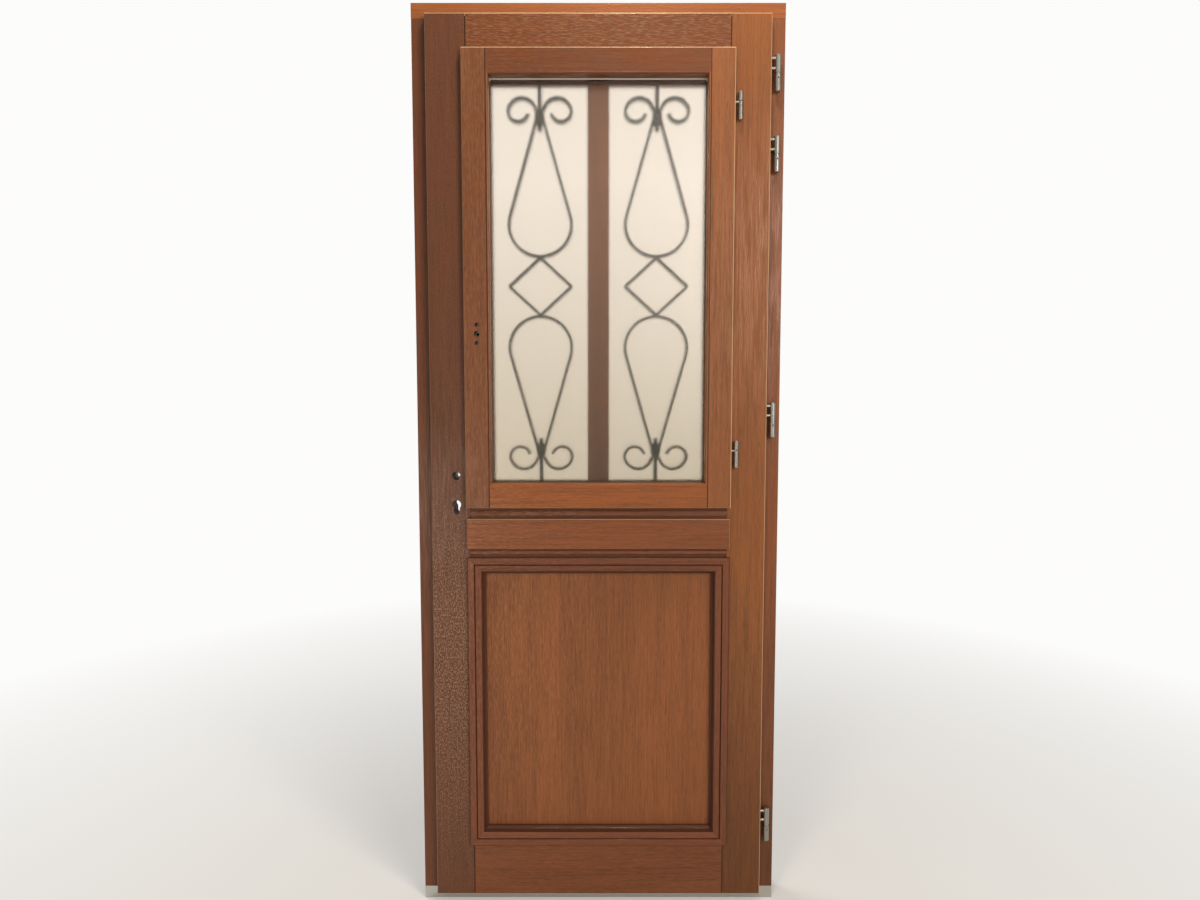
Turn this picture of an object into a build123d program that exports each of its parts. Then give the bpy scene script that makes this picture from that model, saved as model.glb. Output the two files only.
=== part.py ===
from build123d import *
import os

# Glazed timber front door hung in its frame, seen from the room.
# X runs along the wall with the hinges at +X, Z is up and -Y is the room side.
# The origin is the middle of the threshold's underside, halfway through the frame's depth.
# All sizes are millimetres. A section is drawn once and the mirrored piece reuses it.

os.makedirs("parts", exist_ok=True)

# Frame
frame_width = 880.0
frame_height = 2190.0
frame_depth = 58.0
face_width = 36.0  # flat room face of the frame, up to the seal's step
seal_step = 3.0
rebate_margin = 48.0  # outer side of the frame to the rebate wall
stop_margin = 66.0  # outer side of the frame to the stop's edge
head_rebate_margin = 45.0
head_stop_margin = 63.0
stop_thickness = 17.0
frame_arris = 1.5
fixing_radius = 5.25
fixing_low = 700.0
fixing_spacing = 800.0
mitre_gap = 0.1
glue_line = 0.1

# Threshold
threshold_height = 30.0
threshold_nose = 20.0
threshold_wall = 2.5
threshold_lip_height = 18.0

# Seals
seal_gap = 0.3
seal_width = 7.0
threshold_seal_width = 8.0

# Leaf
leaf_thickness = 56.0
leaf_proud = 18.0
lip_gap = 1.0
leaf_gap = 3.0
leaf_lip = 16.0
leaf_floor_gap = 4.0
leaf_foot_lip = 12.0
stile_width = 79.0  # from the leaf's edge under the lip
top_rail_height = 77.0
lock_rail_top = 1010.0
lock_rail_height = 140.0
bottom_rail_height = 127.0
leaf_arris = 3.0
joint_chamfer = 0.7

# Panel, mouldings and the raised board
panel_thickness = 22.0
tongue_thickness = 12.0
groove_depth = 12.0
panel_play = 1.0
moulding_width = 42.0
moulding_overlap = 9.0
moulding_proud = 7.0
board_height = 74.0
board_proud = 7.0
board_below_casement = 27.0
board_arris = 2.5
upper_bead_height = 17.0
upper_bead_drop = 6.0
lower_bead_height = 12.0
lower_bead_rise = 6.0
bead_proud = 4.5
bead_inset = 7.0

# Casement
casement_gap = 4.0
casement_lip = 13.0
casement_lip_thickness = 14.0
casement_thickness = 50.0
casement_stile = 50.0  # from the casement's edge under the lip to the sight line
casement_rail = 47.0
sight_moulding = 4.0
glass_setback = 25.0
glass_rebate = 14.0
casement_arris = 3.0

# Glazing
seal_thickness = 2.0
seal_show = 2.0
pane_thickness = 4.0
spacer_thickness = 8.0
spacer_width = 7.0
spacer_inset = 4.0
pane_edge_gap = 4.0
block_length = 60.0
block_inset = 56.0
bead_chamfer = 5.0

# Outer stop frame, mullion and ironwork
stop_frame_width = 54.0
stop_frame_thickness = 18.0
stop_frame_chamfer = 4.0
casement_seal_width = 6.0
mullion_width = 52.0
bar_width = 6.5
bar_depth = 12.0
stem_width = 9.0
motif_margin = 36.0  # ironwork to the sides of its light
collar_drop = 73.5  # end of the light to the middle of the collar
collar_below_apex = 25.0
diamond_half_height = 69.0
scroll_height = 46.0
collar_width = 23.0
collar_height = 40.0
collar_depth = 16.0

# Weather bar
weather_bar_end_gap = 8.0
weather_bar_rise = 4.0
weather_bar_height = 70.0
weather_bar_reach = 42.0

# Hinges
prong_clearance = 0.05
pin_clearance = 0.05
ring_gap = 0.3
leaf_hinge_rises = [178.0, 1191.0]  # centres above the leaf's foot
leaf_hinge_drops = [318.0, 133.0]  # centres below the leaf's top
leaf_knuckle_radius = 7.0
leaf_knuckle_gap = 9.0  # leaf's lip to the knuckle
leaf_hinge_length = 84.0
leaf_lower_length = 37.0
leaf_ring_height = 5.0
leaf_pin_radius = 4.5
leaf_prong_radius = 3.5
leaf_prong_reach = 58.0
leaf_lower_reach = 42.0
leaf_prong_heights = (8.0, 31.0)  # from the hinge's end
casement_hinge_inset = 130.0
casement_knuckle_radius = 5.5
casement_knuckle_gap = 6.5
casement_hinge_length = 65.0
casement_lower_length = 30.0
casement_ring_height = 2.5
casement_pin_radius = 3.5
casement_prong_radius = 2.8
casement_prong_reach = 42.0
casement_prong_heights = (24.0,)


# Lock in the leaf
backset = 45.0
spindle_z = 1078.0
cylinder_spacing = 70.0
spindle_hole_radius = 10.0
cylinder_hole_radius = 11.0
cylinder_slot_width = 15.0
cylinder_drop = 25.0
faceplate_width = 20.0
faceplate_thickness = 3.0
faceplate_ends = (440.0, 1760.0)
lock_case_depth = 68.0
lock_case_thickness = 16.0
lock_case_ends = (905.0, 1150.0)
lock_wall = 2.0
mortise_gap = 0.3
lock_case_cylinder_radius = 8.6
lock_case_slot_width = 10.2
hub_radius = 11.0
hub_boss_radius = 7.45
boss_clearance = 0.05
spindle_square = 8.0
hub_arm_reach = 22.0
hub_arm_width = 8.0
bolt_side_gap = 0.2
window_gap = 0.3
latch_z = 1108.0
latch_height = 24.0
latch_head = 16.0
latch_tail_height = 10.0
latch_tail = 39.5
latch_lug_width = 3.5
latch_lug_drop = 9.0
latch_bevel = 9.0
latch_throw = 12.0
dead_bolt_z = 965.0
dead_bolt_height = 30.0
dead_bolt_length = 38.0
bolt_throw = 20.0
aux_z = [500.0, 1700.0]
aux_case_height = 60.0
aux_case_depth = 46.0
aux_bolt_height = 20.0
aux_bolt_length = 42.0
rod_width = 9.0
rod_thickness = 4.7
rod_channel_depth = 6.0
rod_spans = [(512.0, 926.0), (1124.0, 1665.0)]
strike_thickness = 2.0
strike_margin = 18.0
pocket_depth = 22.0

# Espagnolette in the casement
gear_rise = 403.0  # casement's foot to the handle
gear_backset = 18.0
gear_case_height = 120.0
gear_case_depth = 26.0
gear_case_thickness = 12.0
gear_wall = 1.5
gear_behind_face = 10.0  # leaf's room face to the middle of the casement's gear
gear_hub_radius = 8.0
gear_boss_radius = 5.45
gear_square = 7.0
handle_hole_radius = 7.0
handle_screw_radius = 5.0
handle_screw_spacing = 43.0
casement_plate_width = 16.0
casement_plate_thickness = 2.5
casement_plate_end = 16.0
casement_rod_width = 10.0
casement_rod_thickness = 3.0
casement_rod_end = 26.0
casement_rod_throw = 18.0
cam_radius = 4.5
cam_reach = 7.5
cam_inset_low = 166.0
cam_inset_high = 181.0
keep_thickness = 6.0
keep_below = 20.0
keep_above = 45.0
keep_depth = 18.7
cam_play = 1.0

# Places worked out from the sizes above
half_width = frame_width / 2
room_face = -frame_depth / 2
outer_face = frame_depth / 2
step_y = room_face + seal_step
stop_front = outer_face - stop_thickness
rebate_wall = half_width - rebate_margin
stop_edge = half_width - stop_margin
head_wall = frame_height - head_rebate_margin

leaf_edge = rebate_wall - leaf_gap
leaf_lip_edge = leaf_edge + leaf_lip
leaf_top = head_wall - leaf_gap
leaf_lip_top = leaf_top + leaf_lip
leaf_bottom = threshold_height + leaf_floor_gap
leaf_lip_bottom = leaf_bottom - leaf_foot_lip
leaf_front = room_face - leaf_proud
leaf_back = leaf_front + leaf_thickness
leaf_middle = (leaf_front + leaf_back) / 2
lip_back = room_face - lip_gap
stile_inner = leaf_edge - stile_width
casement_opening_top = leaf_top - top_rail_height
lock_rail_bottom = lock_rail_top - lock_rail_height
bottom_rail_top = leaf_bottom + bottom_rail_height
panel_front = leaf_middle - panel_thickness / 2
panel_back = leaf_middle + panel_thickness / 2

casement_edge = stile_inner - casement_gap
casement_lip_edge = casement_edge + casement_lip
casement_top = casement_opening_top - casement_gap
casement_bottom = lock_rail_top + casement_gap
casement_lip_top = casement_top + casement_lip
casement_lip_bottom = casement_bottom - casement_lip
casement_lip_back = leaf_front - lip_gap
casement_front = casement_lip_back - casement_lip_thickness
casement_back = casement_front + casement_thickness
sight_x = casement_edge - casement_stile
sight_top = casement_top - casement_rail
sight_bottom = casement_bottom + casement_rail
glass_front = casement_front + glass_setback
rebate_x = sight_x + glass_rebate
rebate_top = sight_top + glass_rebate
rebate_bottom = sight_bottom - glass_rebate
pane_front = glass_front + seal_thickness
spacer_front = pane_front + pane_thickness
outer_pane_front = spacer_front + spacer_thickness
bead_front = outer_pane_front + pane_thickness

stop_frame_front = leaf_back - stop_frame_thickness
light_x = stile_inner - stop_frame_width
light_top = casement_opening_top - stop_frame_width
light_bottom = lock_rail_top + stop_frame_width
light_middle = (light_top + light_bottom) / 2
motif_half = (light_x - mullion_width / 2) / 2 - motif_margin
drop_radius = motif_half - bar_width / 2
ring_rise = diamond_half_height + bar_width / 2 + drop_radius  # middle of the light to a drop's centre
collar_rise = (light_top - light_bottom) / 2 - collar_drop
drop_length = collar_rise - ring_rise + collar_below_apex  # to where a drop's sides would meet
weather_bar_half = stop_edge - weather_bar_end_gap
weather_bar_low = leaf_bottom + weather_bar_rise

leaf_hinge_x = leaf_lip_edge + leaf_knuckle_gap + leaf_knuckle_radius
leaf_hinge_y = (leaf_front + lip_back) / 2
casement_hinge_x = casement_lip_edge + casement_knuckle_gap + casement_knuckle_radius
casement_hinge_y = (casement_front + casement_lip_back) / 2
casement_hinge_z = [casement_lip_bottom + casement_hinge_inset, casement_lip_top - casement_hinge_inset]
leaf_hinge_z = ([leaf_lip_bottom + rise for rise in leaf_hinge_rises]
                + [leaf_lip_top - drop for drop in leaf_hinge_drops])
leaf_hinge_lows = [centre - leaf_hinge_length / 2 for centre in leaf_hinge_z]
leaf_upper_start = leaf_lower_length + leaf_ring_height + ring_gap
casement_hinge_lows = [centre - casement_hinge_length / 2 for centre in casement_hinge_z]
casement_upper_start = casement_lower_length + casement_ring_height + ring_gap

lock_y = (lip_back + leaf_back) / 2
spindle_x = -(leaf_edge - backset)
cylinder_z = spindle_z - cylinder_spacing
faceplate_back = -(leaf_edge - faceplate_thickness)
lock_inner_half = lock_case_thickness / 2 - lock_wall
bolt_half_y = lock_inner_half - bolt_side_gap
gear_x = -(casement_edge - gear_backset)
gear_z = casement_bottom + gear_rise
cam_z = [casement_bottom + cam_inset_low, casement_top - cam_inset_high]
gear_y = leaf_front + gear_behind_face
casement_plate_back = -(casement_edge - casement_plate_thickness)
casement_rod_front = casement_plate_back + mortise_gap
casement_rod_back = casement_rod_front + casement_rod_thickness
gear_front = casement_rod_back + mortise_gap


def box(low, high, mode=Mode.ADD):
    """Box between two corners, joined to the part being built or cut from it."""
    with Locations([tuple((a + b) / 2 for a, b in zip(low, high))]):
        Box(*(abs(b - a) for a, b in zip(low, high)), mode=mode)


def rod_along(axis, centre, radius, length, mode=Mode.ADD):
    """Round bar or bore along X, Y or Z, centred on a point."""
    turn = {"x": (0, 90, 0), "y": (90, 0, 0), "z": (0, 0, 0)}[axis]
    with Locations([centre]):
        Cylinder(radius, length, rotation=turn, mode=mode)


def save(builder, name):
    """Label a finished piece and write it to its own file."""
    builder.part.label = name
    export_step(builder.part, f"parts/{name}.step")


def frame_section(outer, sign, rebate, stop):
    """Stepped frame section as (across, depth) points, outer side first."""
    return [
        (sign * outer, room_face),
        (sign * (outer - face_width), room_face),
        (sign * (outer - face_width), step_y),
        (sign * (outer - rebate), step_y),
        (sign * (outer - rebate), stop_front),
        (sign * (outer - stop), stop_front),
        (sign * (outer - stop), outer_face),
        (sign * outer, outer_face),
    ]


def head_section():
    """Section of the frame's head as (depth, height) points."""
    across = frame_section(frame_height, 1, head_rebate_margin, head_stop_margin)
    return [(depth, height) for height, depth in across]


def part_laminations():
    """Part the lamination that forms the stop from the thicker one in front of it."""
    box((-half_width - 1, stop_front - glue_line, 0), (half_width + 1, stop_front, frame_height + 1),
        Mode.SUBTRACT)


def frame_jamb(side):
    """Upright of the frame, two laminations deep, standing on the threshold under the head."""
    with BuildPart() as jamb:
        with BuildSketch(Plane.XY.offset(threshold_height)) as plan:
            with BuildLine():
                Polyline(*frame_section(half_width, side, rebate_margin, stop_margin), close=True)
            make_face()
            fillet(plan.vertices().filter_by_position(Axis.Y, room_face - 0.1, room_face + 0.1),
                   radius=frame_arris)
        extrude(amount=frame_height - threshold_height)
        with BuildSketch(Plane.YZ.offset(-half_width)):
            with BuildLine():
                Polyline(*head_section(), close=True)
            make_face()
        extrude(amount=frame_width, mode=Mode.SUBTRACT)
        for height in (fixing_low, fixing_low + fixing_spacing):
            middle = side * (half_width + rebate_wall) / 2
            rod_along("x", (middle, (step_y + stop_front) / 2, height), fixing_radius,
                      rebate_margin + 2, Mode.SUBTRACT)
        if side > 0:
            for low in leaf_hinge_lows:
                for height in leaf_prong_heights:
                    bore_end = leaf_hinge_y + leaf_lower_reach + 1
                    rod_along("y", (leaf_hinge_x, (room_face + bore_end) / 2, low + height),
                              leaf_prong_radius + prong_clearance, bore_end - room_face, Mode.SUBTRACT)
        else:
            for low, high, windows in strike_layouts():
                box((-rebate_wall - strike_thickness, lock_y - faceplate_width / 2, low),
                    (-rebate_wall + 1, lock_y + faceplate_width / 2, high), Mode.SUBTRACT)
                for centre, height in windows:
                    pocket(centre, height)
        part_laminations()
    return jamb


def strike_layouts():
    """Bottom, top and window list of each strike plate, worked out from the bolts."""
    main = (dead_bolt_z - dead_bolt_height / 2 - strike_margin,
            latch_z + latch_height / 2 + strike_margin,
            [(latch_z, latch_height), (dead_bolt_z, dead_bolt_height)])
    spare = [(z - aux_bolt_height / 2 - strike_margin, z + aux_bolt_height / 2 + strike_margin,
              [(z, aux_bolt_height)]) for z in aux_z]
    return [main] + spare


def pocket(centre, height):
    """Cut the pocket that takes one bolt, through a strike plate and into the jamb."""
    half = height / 2 + 1.0
    box((-rebate_wall - pocket_depth, lock_y - bolt_half_y - 1, centre - half),
        (-rebate_wall + 1, lock_y + bolt_half_y + 1, centre + half), Mode.SUBTRACT)


frame_hinge_jamb = frame_jamb(1)
save(frame_hinge_jamb, "frame_hinge_jamb")
frame_lock_jamb = frame_jamb(-1)
save(frame_lock_jamb, "frame_lock_jamb")

with BuildPart() as frame_head:
    with BuildSketch(Plane.YZ.offset(-half_width)) as section:
        with BuildLine():
            Polyline(*head_section(), close=True)
        make_face()
        fillet(section.vertices().filter_by_position(Axis.X, room_face - 0.1, room_face + 0.1),
               radius=frame_arris)
    extrude(amount=frame_width)
    part_laminations()
save(frame_head, "frame_head")

with BuildPart() as threshold:
    with BuildSketch(Plane.YZ.offset(-half_width)):
        with BuildLine():
            Polyline(
                (room_face, 0),
                (room_face, threshold_height),
                (outer_face, threshold_height),
                (outer_face + 2, threshold_height - 6),
                (outer_face + threshold_nose, threshold_lip_height),
                (outer_face + threshold_nose, 0),
                close=True,
            )
        make_face()
        chamber = (frame_depth - 3 * threshold_wall) / 2
        with Locations((-(chamber + threshold_wall) / 2, threshold_height / 2),
                       ((chamber + threshold_wall) / 2, threshold_height / 2)):
            Rectangle(chamber, threshold_height - 2 * threshold_wall, mode=Mode.SUBTRACT)
    extrude(amount=frame_width)
save(threshold, "threshold")

with BuildPart() as frame_seal:
    seal_outer = rebate_wall + 2 + seal_width
    seal_top = head_wall + 1 + seal_width
    seal_low, seal_high = lip_back + seal_gap, step_y
    box((-seal_outer, seal_low, threshold_height), (seal_outer, seal_high, seal_top))
    box((-seal_outer + seal_width, seal_low - 1, threshold_height - 1),
        (seal_outer - seal_width, seal_high + 1, seal_top - seal_width), Mode.SUBTRACT)
    box((-leaf_edge, lock_y - threshold_seal_width / 2, threshold_height),
        (leaf_edge, lock_y + threshold_seal_width / 2, leaf_bottom - seal_gap))
save(frame_seal, "frame_seal")


def strike_plates(layouts):
    """Flat plates let into the lock jamb, with a window for each bolt."""
    with BuildPart() as plates:
        for low, high, windows in layouts:
            box((-rebate_wall - strike_thickness, lock_y - faceplate_width / 2, low),
                (-rebate_wall, lock_y + faceplate_width / 2, high))
            for centre, height in windows:
                pocket(centre, height)
    return plates


save(strike_plates(strike_layouts()[:1]), "main_strike_plate")
save(strike_plates(strike_layouts()[1:]), "aux_strike_plates")


def leaf_stile(side):
    """Upright of the leaf: lipped outer edge, panel groove, and the lock or hinge cuts."""
    with BuildPart() as stile:
        with BuildSketch(Plane.XY.offset(leaf_lip_bottom)) as plan:
            with BuildLine():
                Polyline(
                    (side * stile_inner, leaf_front),
                    (side * leaf_lip_edge, leaf_front),
                    (side * leaf_lip_edge, lip_back),
                    (side * leaf_edge, lip_back),
                    (side * leaf_edge, leaf_back),
                    (side * stile_inner, leaf_back),
                    close=True,
                )
            make_face()
        extrude(amount=leaf_lip_top - leaf_lip_bottom)
        face_edges = stile.edges().filter_by(Axis.Z).filter_by_position(
            Axis.Y, leaf_front - 0.1, leaf_front + 0.1)
        chamfer(face_edges.sort_by(Axis.X)[0 if side > 0 else -1], length=joint_chamfer)
        front_edges = stile.edges().filter_by_position(Axis.Y, leaf_front - 0.1, leaf_front + 0.1)
        rim = front_edges.filter_by(Axis.X) + front_edges.filter_by(Axis.Z).sort_by(Axis.X)[-1 if side > 0 else 0:][:1]
        fillet(rim, radius=leaf_arris)
        for low, high in ((leaf_lip_bottom - 1, leaf_bottom), (leaf_top, leaf_lip_top + 1)):
            box((-half_width, lip_back, low), (half_width, leaf_back + 1, high), Mode.SUBTRACT)
        panel_groove()
        if side > 0:
            leaf_hinge_bores()
        else:
            lock_cuts()
    return stile


def panel_groove():
    """Groove around the lower opening that takes the panel's tongue."""
    box((-stile_inner - groove_depth, leaf_middle - tongue_thickness / 2, bottom_rail_top - groove_depth),
        (stile_inner + groove_depth, leaf_middle + tongue_thickness / 2, lock_rail_bottom + groove_depth),
        Mode.SUBTRACT)


def leaf_hinge_bores():
    """Bores in the hinge stile for the leaf's own hinges and for the casement's."""
    for low in leaf_hinge_lows:
        for height in leaf_prong_heights:
            tip = leaf_hinge_x - leaf_prong_reach - 1
            rod_along("x", ((tip + leaf_hinge_x) / 2, leaf_hinge_y, low + leaf_hinge_length - height),
                      leaf_prong_radius + prong_clearance, leaf_hinge_x - tip, Mode.SUBTRACT)
    for low in casement_hinge_lows:
        for height in casement_prong_heights:
            tip = casement_hinge_y + casement_prong_reach + 1
            rod_along("y", (casement_hinge_x, (tip + casement_hinge_y) / 2, low + height),
                      casement_prong_radius + prong_clearance, tip - casement_hinge_y, Mode.SUBTRACT)


def lock_cuts():
    """Mortises, rod channel, faceplate groove and handle holes of the lock stile."""
    half_plate = faceplate_width / 2
    box((-leaf_edge - 1, lock_y - half_plate, faceplate_ends[0]),
        (faceplate_back, lock_y + half_plate, faceplate_ends[1]), Mode.SUBTRACT)
    half_rod = rod_width / 2 + 1
    box((faceplate_back, lock_y - half_rod, aux_z[0]),
        (faceplate_back + rod_channel_depth, lock_y + half_rod, aux_z[1]), Mode.SUBTRACT)
    half_case = lock_case_thickness / 2 + mortise_gap
    box((faceplate_back, lock_y - half_case, lock_case_ends[0] - mortise_gap),
        (faceplate_back + lock_case_depth + mortise_gap, lock_y + half_case,
         lock_case_ends[1] + mortise_gap), Mode.SUBTRACT)
    for centre in aux_z:
        half = aux_case_height / 2 + mortise_gap
        box((faceplate_back, lock_y - half_case, centre - half),
            (faceplate_back + aux_case_depth + mortise_gap, lock_y + half_case, centre + half), Mode.SUBTRACT)
    rod_along("y", (spindle_x, leaf_middle, spindle_z), spindle_hole_radius, leaf_thickness + 2, Mode.SUBTRACT)
    profile_hole(cylinder_hole_radius, cylinder_slot_width, leaf_thickness + 2, leaf_middle)
    for centre in cam_z:
        box((-stile_inner - keep_thickness, leaf_front - 1, centre - keep_below),
            (-stile_inner + 1, leaf_front + keep_depth, centre + keep_above), Mode.SUBTRACT)


def profile_hole(radius, slot_width, length, middle_y):
    """Cut the pear-shaped hole of a profile cylinder, round at the top and slotted below."""
    rod_along("y", (spindle_x, middle_y, cylinder_z), radius, length, Mode.SUBTRACT)
    box((spindle_x - slot_width / 2, middle_y - length / 2, cylinder_z - cylinder_drop + slot_width / 2),
        (spindle_x + slot_width / 2, middle_y + length / 2, cylinder_z), Mode.SUBTRACT)
    rod_along("y", (spindle_x, middle_y, cylinder_z - cylinder_drop + slot_width / 2),
              slot_width / 2, length, Mode.SUBTRACT)


leaf_hinge_stile = leaf_stile(1)
save(leaf_hinge_stile, "leaf_hinge_stile")
leaf_lock_stile = leaf_stile(-1)
save(leaf_lock_stile, "leaf_lock_stile")


def leaf_rail(front_low, front_high, back_low, back_high):
    """Rail between the stiles; its front may run on past the body as a lip."""
    with BuildPart() as rail:
        box((-stile_inner, leaf_front, front_low), (stile_inner, lip_back, front_high))
        box((-stile_inner, lip_back, back_low), (stile_inner, leaf_back, back_high))
        ends = rail.edges().filter_by(Axis.Z).filter_by_position(Axis.Y, leaf_front - 0.1, leaf_front + 0.1)
        chamfer(ends, length=joint_chamfer)
        if front_high > back_high:
            fillet(rail.edges().filter_by(Axis.X).group_by(Axis.Z)[-1].sort_by(Axis.Y)[0], radius=leaf_arris)
        if front_low < back_low:
            fillet(rail.edges().filter_by(Axis.X).group_by(Axis.Z)[0].sort_by(Axis.Y)[0], radius=leaf_arris)
        panel_groove()
    return rail


save(leaf_rail(casement_opening_top, leaf_lip_top, casement_opening_top, leaf_top), "leaf_top_rail")
save(leaf_rail(lock_rail_bottom, lock_rail_top, lock_rail_bottom, lock_rail_top), "leaf_lock_rail")
save(leaf_rail(leaf_lip_bottom, bottom_rail_top, leaf_bottom, bottom_rail_top), "leaf_bottom_rail")

board_top = casement_lip_bottom - board_below_casement
moulding_edge = stile_inner + moulding_overlap
with BuildPart() as rail_board:
    box((-moulding_edge, leaf_front - board_proud, board_top - board_height),
        (moulding_edge, leaf_front, board_top))
    fillet(rail_board.faces().sort_by(Axis.Y)[0].edges(), radius=board_arris)
save(rail_board, "rail_board")

with BuildPart() as rail_beads:
    bead_half = moulding_edge - bead_inset
    upper = (casement_lip_bottom - upper_bead_drop - upper_bead_height, upper_bead_height)
    lower = (lock_rail_bottom + moulding_overlap + lower_bead_rise, lower_bead_height)
    for low, height in (upper, lower):
        with BuildSketch(Plane.YZ.offset(-bead_half)):
            with BuildLine():
                Line((leaf_front, low), (leaf_front, low + height))
                ThreePointArc((leaf_front, low + height), (leaf_front - bead_proud, low + height / 2),
                              (leaf_front, low))
            make_face()
        extrude(amount=2 * bead_half)
save(rail_beads, "rail_beads")

with BuildPart() as panel:
    field = panel_play + 1
    box((-stile_inner + field, panel_front, bottom_rail_top + field),
        (stile_inner - field, panel_back, lock_rail_bottom - field))
    reach = groove_depth - panel_play
    box((-stile_inner - reach, leaf_middle - tongue_thickness / 2, bottom_rail_top - reach),
        (stile_inner + reach, leaf_middle + tongue_thickness / 2, lock_rail_bottom + reach))
save(panel, "panel")


def mitred_frame(outline, face_y, outward, half_x, low, high):
    """Four lengths of one section around a rectangle, mitred at its corners.

    The outline is a list of lines (two points) and arcs (three points). Its x runs from
    the rectangle's edge inwards and its y stands outward from face_y.
    """
    middle = (low + high) / 2
    room = Vector(0, outward, 0)
    lengths = []
    for origin, inward, half in (
        (Vector(-half_x, face_y, middle), Vector(1, 0, 0), (high - low) / 2),
        (Vector(half_x, face_y, middle), Vector(-1, 0, 0), (high - low) / 2),
        (Vector(0, face_y, high), Vector(0, 0, -1), half_x),
        (Vector(0, face_y, low), Vector(0, 0, 1), half_x),
    ):
        along = inward.cross(room)
        with BuildPart() as length:
            with BuildSketch(Plane(origin, x_dir=inward, z_dir=along)):
                with BuildLine():
                    for points in outline:
                        if len(points) == 2:
                            Line(*points)
                        else:
                            ThreePointArc(*points)
                make_face()
            extrude(amount=half, both=True)
            for end in (1, -1):
                corner = origin + along * (end * (half - mitre_gap))
                split(bisect_by=Plane(corner, z_dir=inward + along * end), keep=Keep.BOTTOM)
        lengths.append(length.part)
    with BuildPart() as ring:
        for length in lengths:
            add(length)
    return ring


fillet_depth = panel_front - leaf_front
bolection = [
    ((0, 0), (0, moulding_proud - 2)),
    ((0, moulding_proud - 2), (0.9, moulding_proud - 0.6), (3, moulding_proud)),
    ((3, moulding_proud), (16.5, moulding_proud)),
    ((16.5, moulding_proud), (18, moulding_proud - 2.5)),
    ((18, moulding_proud - 2.5), (19.5, moulding_proud - 0.5)),
    ((19.5, moulding_proud - 0.5), (27, moulding_proud - 1.3), (34, moulding_proud - 4)),
    ((34, moulding_proud - 4), (34, moulding_proud - 6)),
    ((34, moulding_proud - 6), (36, moulding_proud - 6)),
    ((36, moulding_proud - 6), (37.2, moulding_proud - 12.5), (moulding_width, moulding_proud - 18)),
    ((moulding_width, moulding_proud - 18), (moulding_width, -fillet_depth)),
    ((moulding_width, -fillet_depth), (moulding_overlap, -fillet_depth)),
    ((moulding_overlap, -fillet_depth), (moulding_overlap, 0)),
    ((moulding_overlap, 0), (0, 0)),
]
for name, face_y, outward in (("panel_moulding_inner", leaf_front, -1), ("panel_moulding_outer", leaf_back, 1)):
    save(mitred_frame(bolection, face_y, outward, moulding_edge, bottom_rail_top - moulding_overlap,
                      lock_rail_bottom + moulding_overlap), name)

batten = [
    ((0, 0), (0, -stop_frame_thickness)),
    ((0, -stop_frame_thickness), (stop_frame_width, -stop_frame_thickness)),
    ((stop_frame_width, -stop_frame_thickness), (stop_frame_width, -stop_frame_chamfer)),
    ((stop_frame_width, -stop_frame_chamfer), (stop_frame_width - stop_frame_chamfer, 0)),
    ((stop_frame_width - stop_frame_chamfer, 0), (0, 0)),
]
save(mitred_frame(batten, leaf_back, 1, stile_inner, lock_rail_top, casement_opening_top), "outer_stop_frame")

with BuildPart() as mullion:
    box((-mullion_width / 2, stop_frame_front, light_bottom), (mullion_width / 2, leaf_back, light_top))
    outer_edges = mullion.edges().filter_by(Axis.Z).filter_by_position(Axis.Y, leaf_back - 0.1, leaf_back + 0.1)
    chamfer(outer_edges, length=stop_frame_chamfer)
save(mullion, "mullion")


def grille(side):
    """Wrought motif of one light: two drops, a diamond, four scrolls, collars and stems."""
    centre = side * (light_x + mullion_width / 2) / 2
    bar_middle = stop_frame_front + stop_frame_thickness / 2
    diamond = [(centre + drop_radius, light_middle), (centre, light_middle + diamond_half_height),
               (centre - drop_radius, light_middle), (centre, light_middle - diamond_half_height)]
    with BuildPart() as motif:
        with BuildSketch(Plane.XZ.offset(-bar_middle)):
            for start, end in zip(diamond, diamond[1:] + diamond[:1]):
                with BuildLine():
                    Line(start, end)
                trace(line_width=bar_width)
            for flip in (1, -1):
                ring_z = light_middle + flip * ring_rise
                apex_z = ring_z + flip * drop_length
                collar_z = light_middle + flip * collar_rise
                end_z = light_top if flip > 0 else light_bottom
                touch_z = ring_z + flip * drop_radius**2 / drop_length
                touch_x = drop_radius * (1 - (drop_radius / drop_length)**2)**0.5
                with BuildLine():
                    Line((centre, apex_z), (centre + touch_x, touch_z))
                    ThreePointArc((centre + touch_x, touch_z), (centre, ring_z - flip * drop_radius),
                                  (centre - touch_x, touch_z))
                    Line((centre - touch_x, touch_z), (centre, apex_z))
                trace(line_width=bar_width)
                with BuildLine():
                    Line((centre, collar_z - flip * (collar_height / 2 + 10)), (centre, end_z))
                trace(line_width=stem_width)
                for hand in (1, -1):
                    with BuildLine():
                        crown = (centre + hand * 0.6 * drop_radius, collar_z + flip * scroll_height)
                        outside = (centre + hand * drop_radius, collar_z + flip * 0.42 * scroll_height)
                        ThreePointArc((centre + hand * 9, collar_z + flip * 0.36 * scroll_height), crown, outside)
                        ThreePointArc(outside, (centre + hand * 0.69 * drop_radius, collar_z - flip * 9),
                                      (centre + hand * 0.37 * drop_radius, collar_z + flip * 9))
                    trace(line_width=bar_width)
        extrude(amount=bar_depth / 2, both=True)
        with BuildSketch(Plane.XZ.offset(-bar_middle)):
            with Locations((centre, light_middle + collar_rise), (centre, light_middle - collar_rise)):
                Ellipse(collar_width / 2, collar_height / 2)
        extrude(amount=collar_depth / 2, both=True)
    return motif


save(grille(-1), "grille_left")
save(grille(1), "grille_right")

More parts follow.
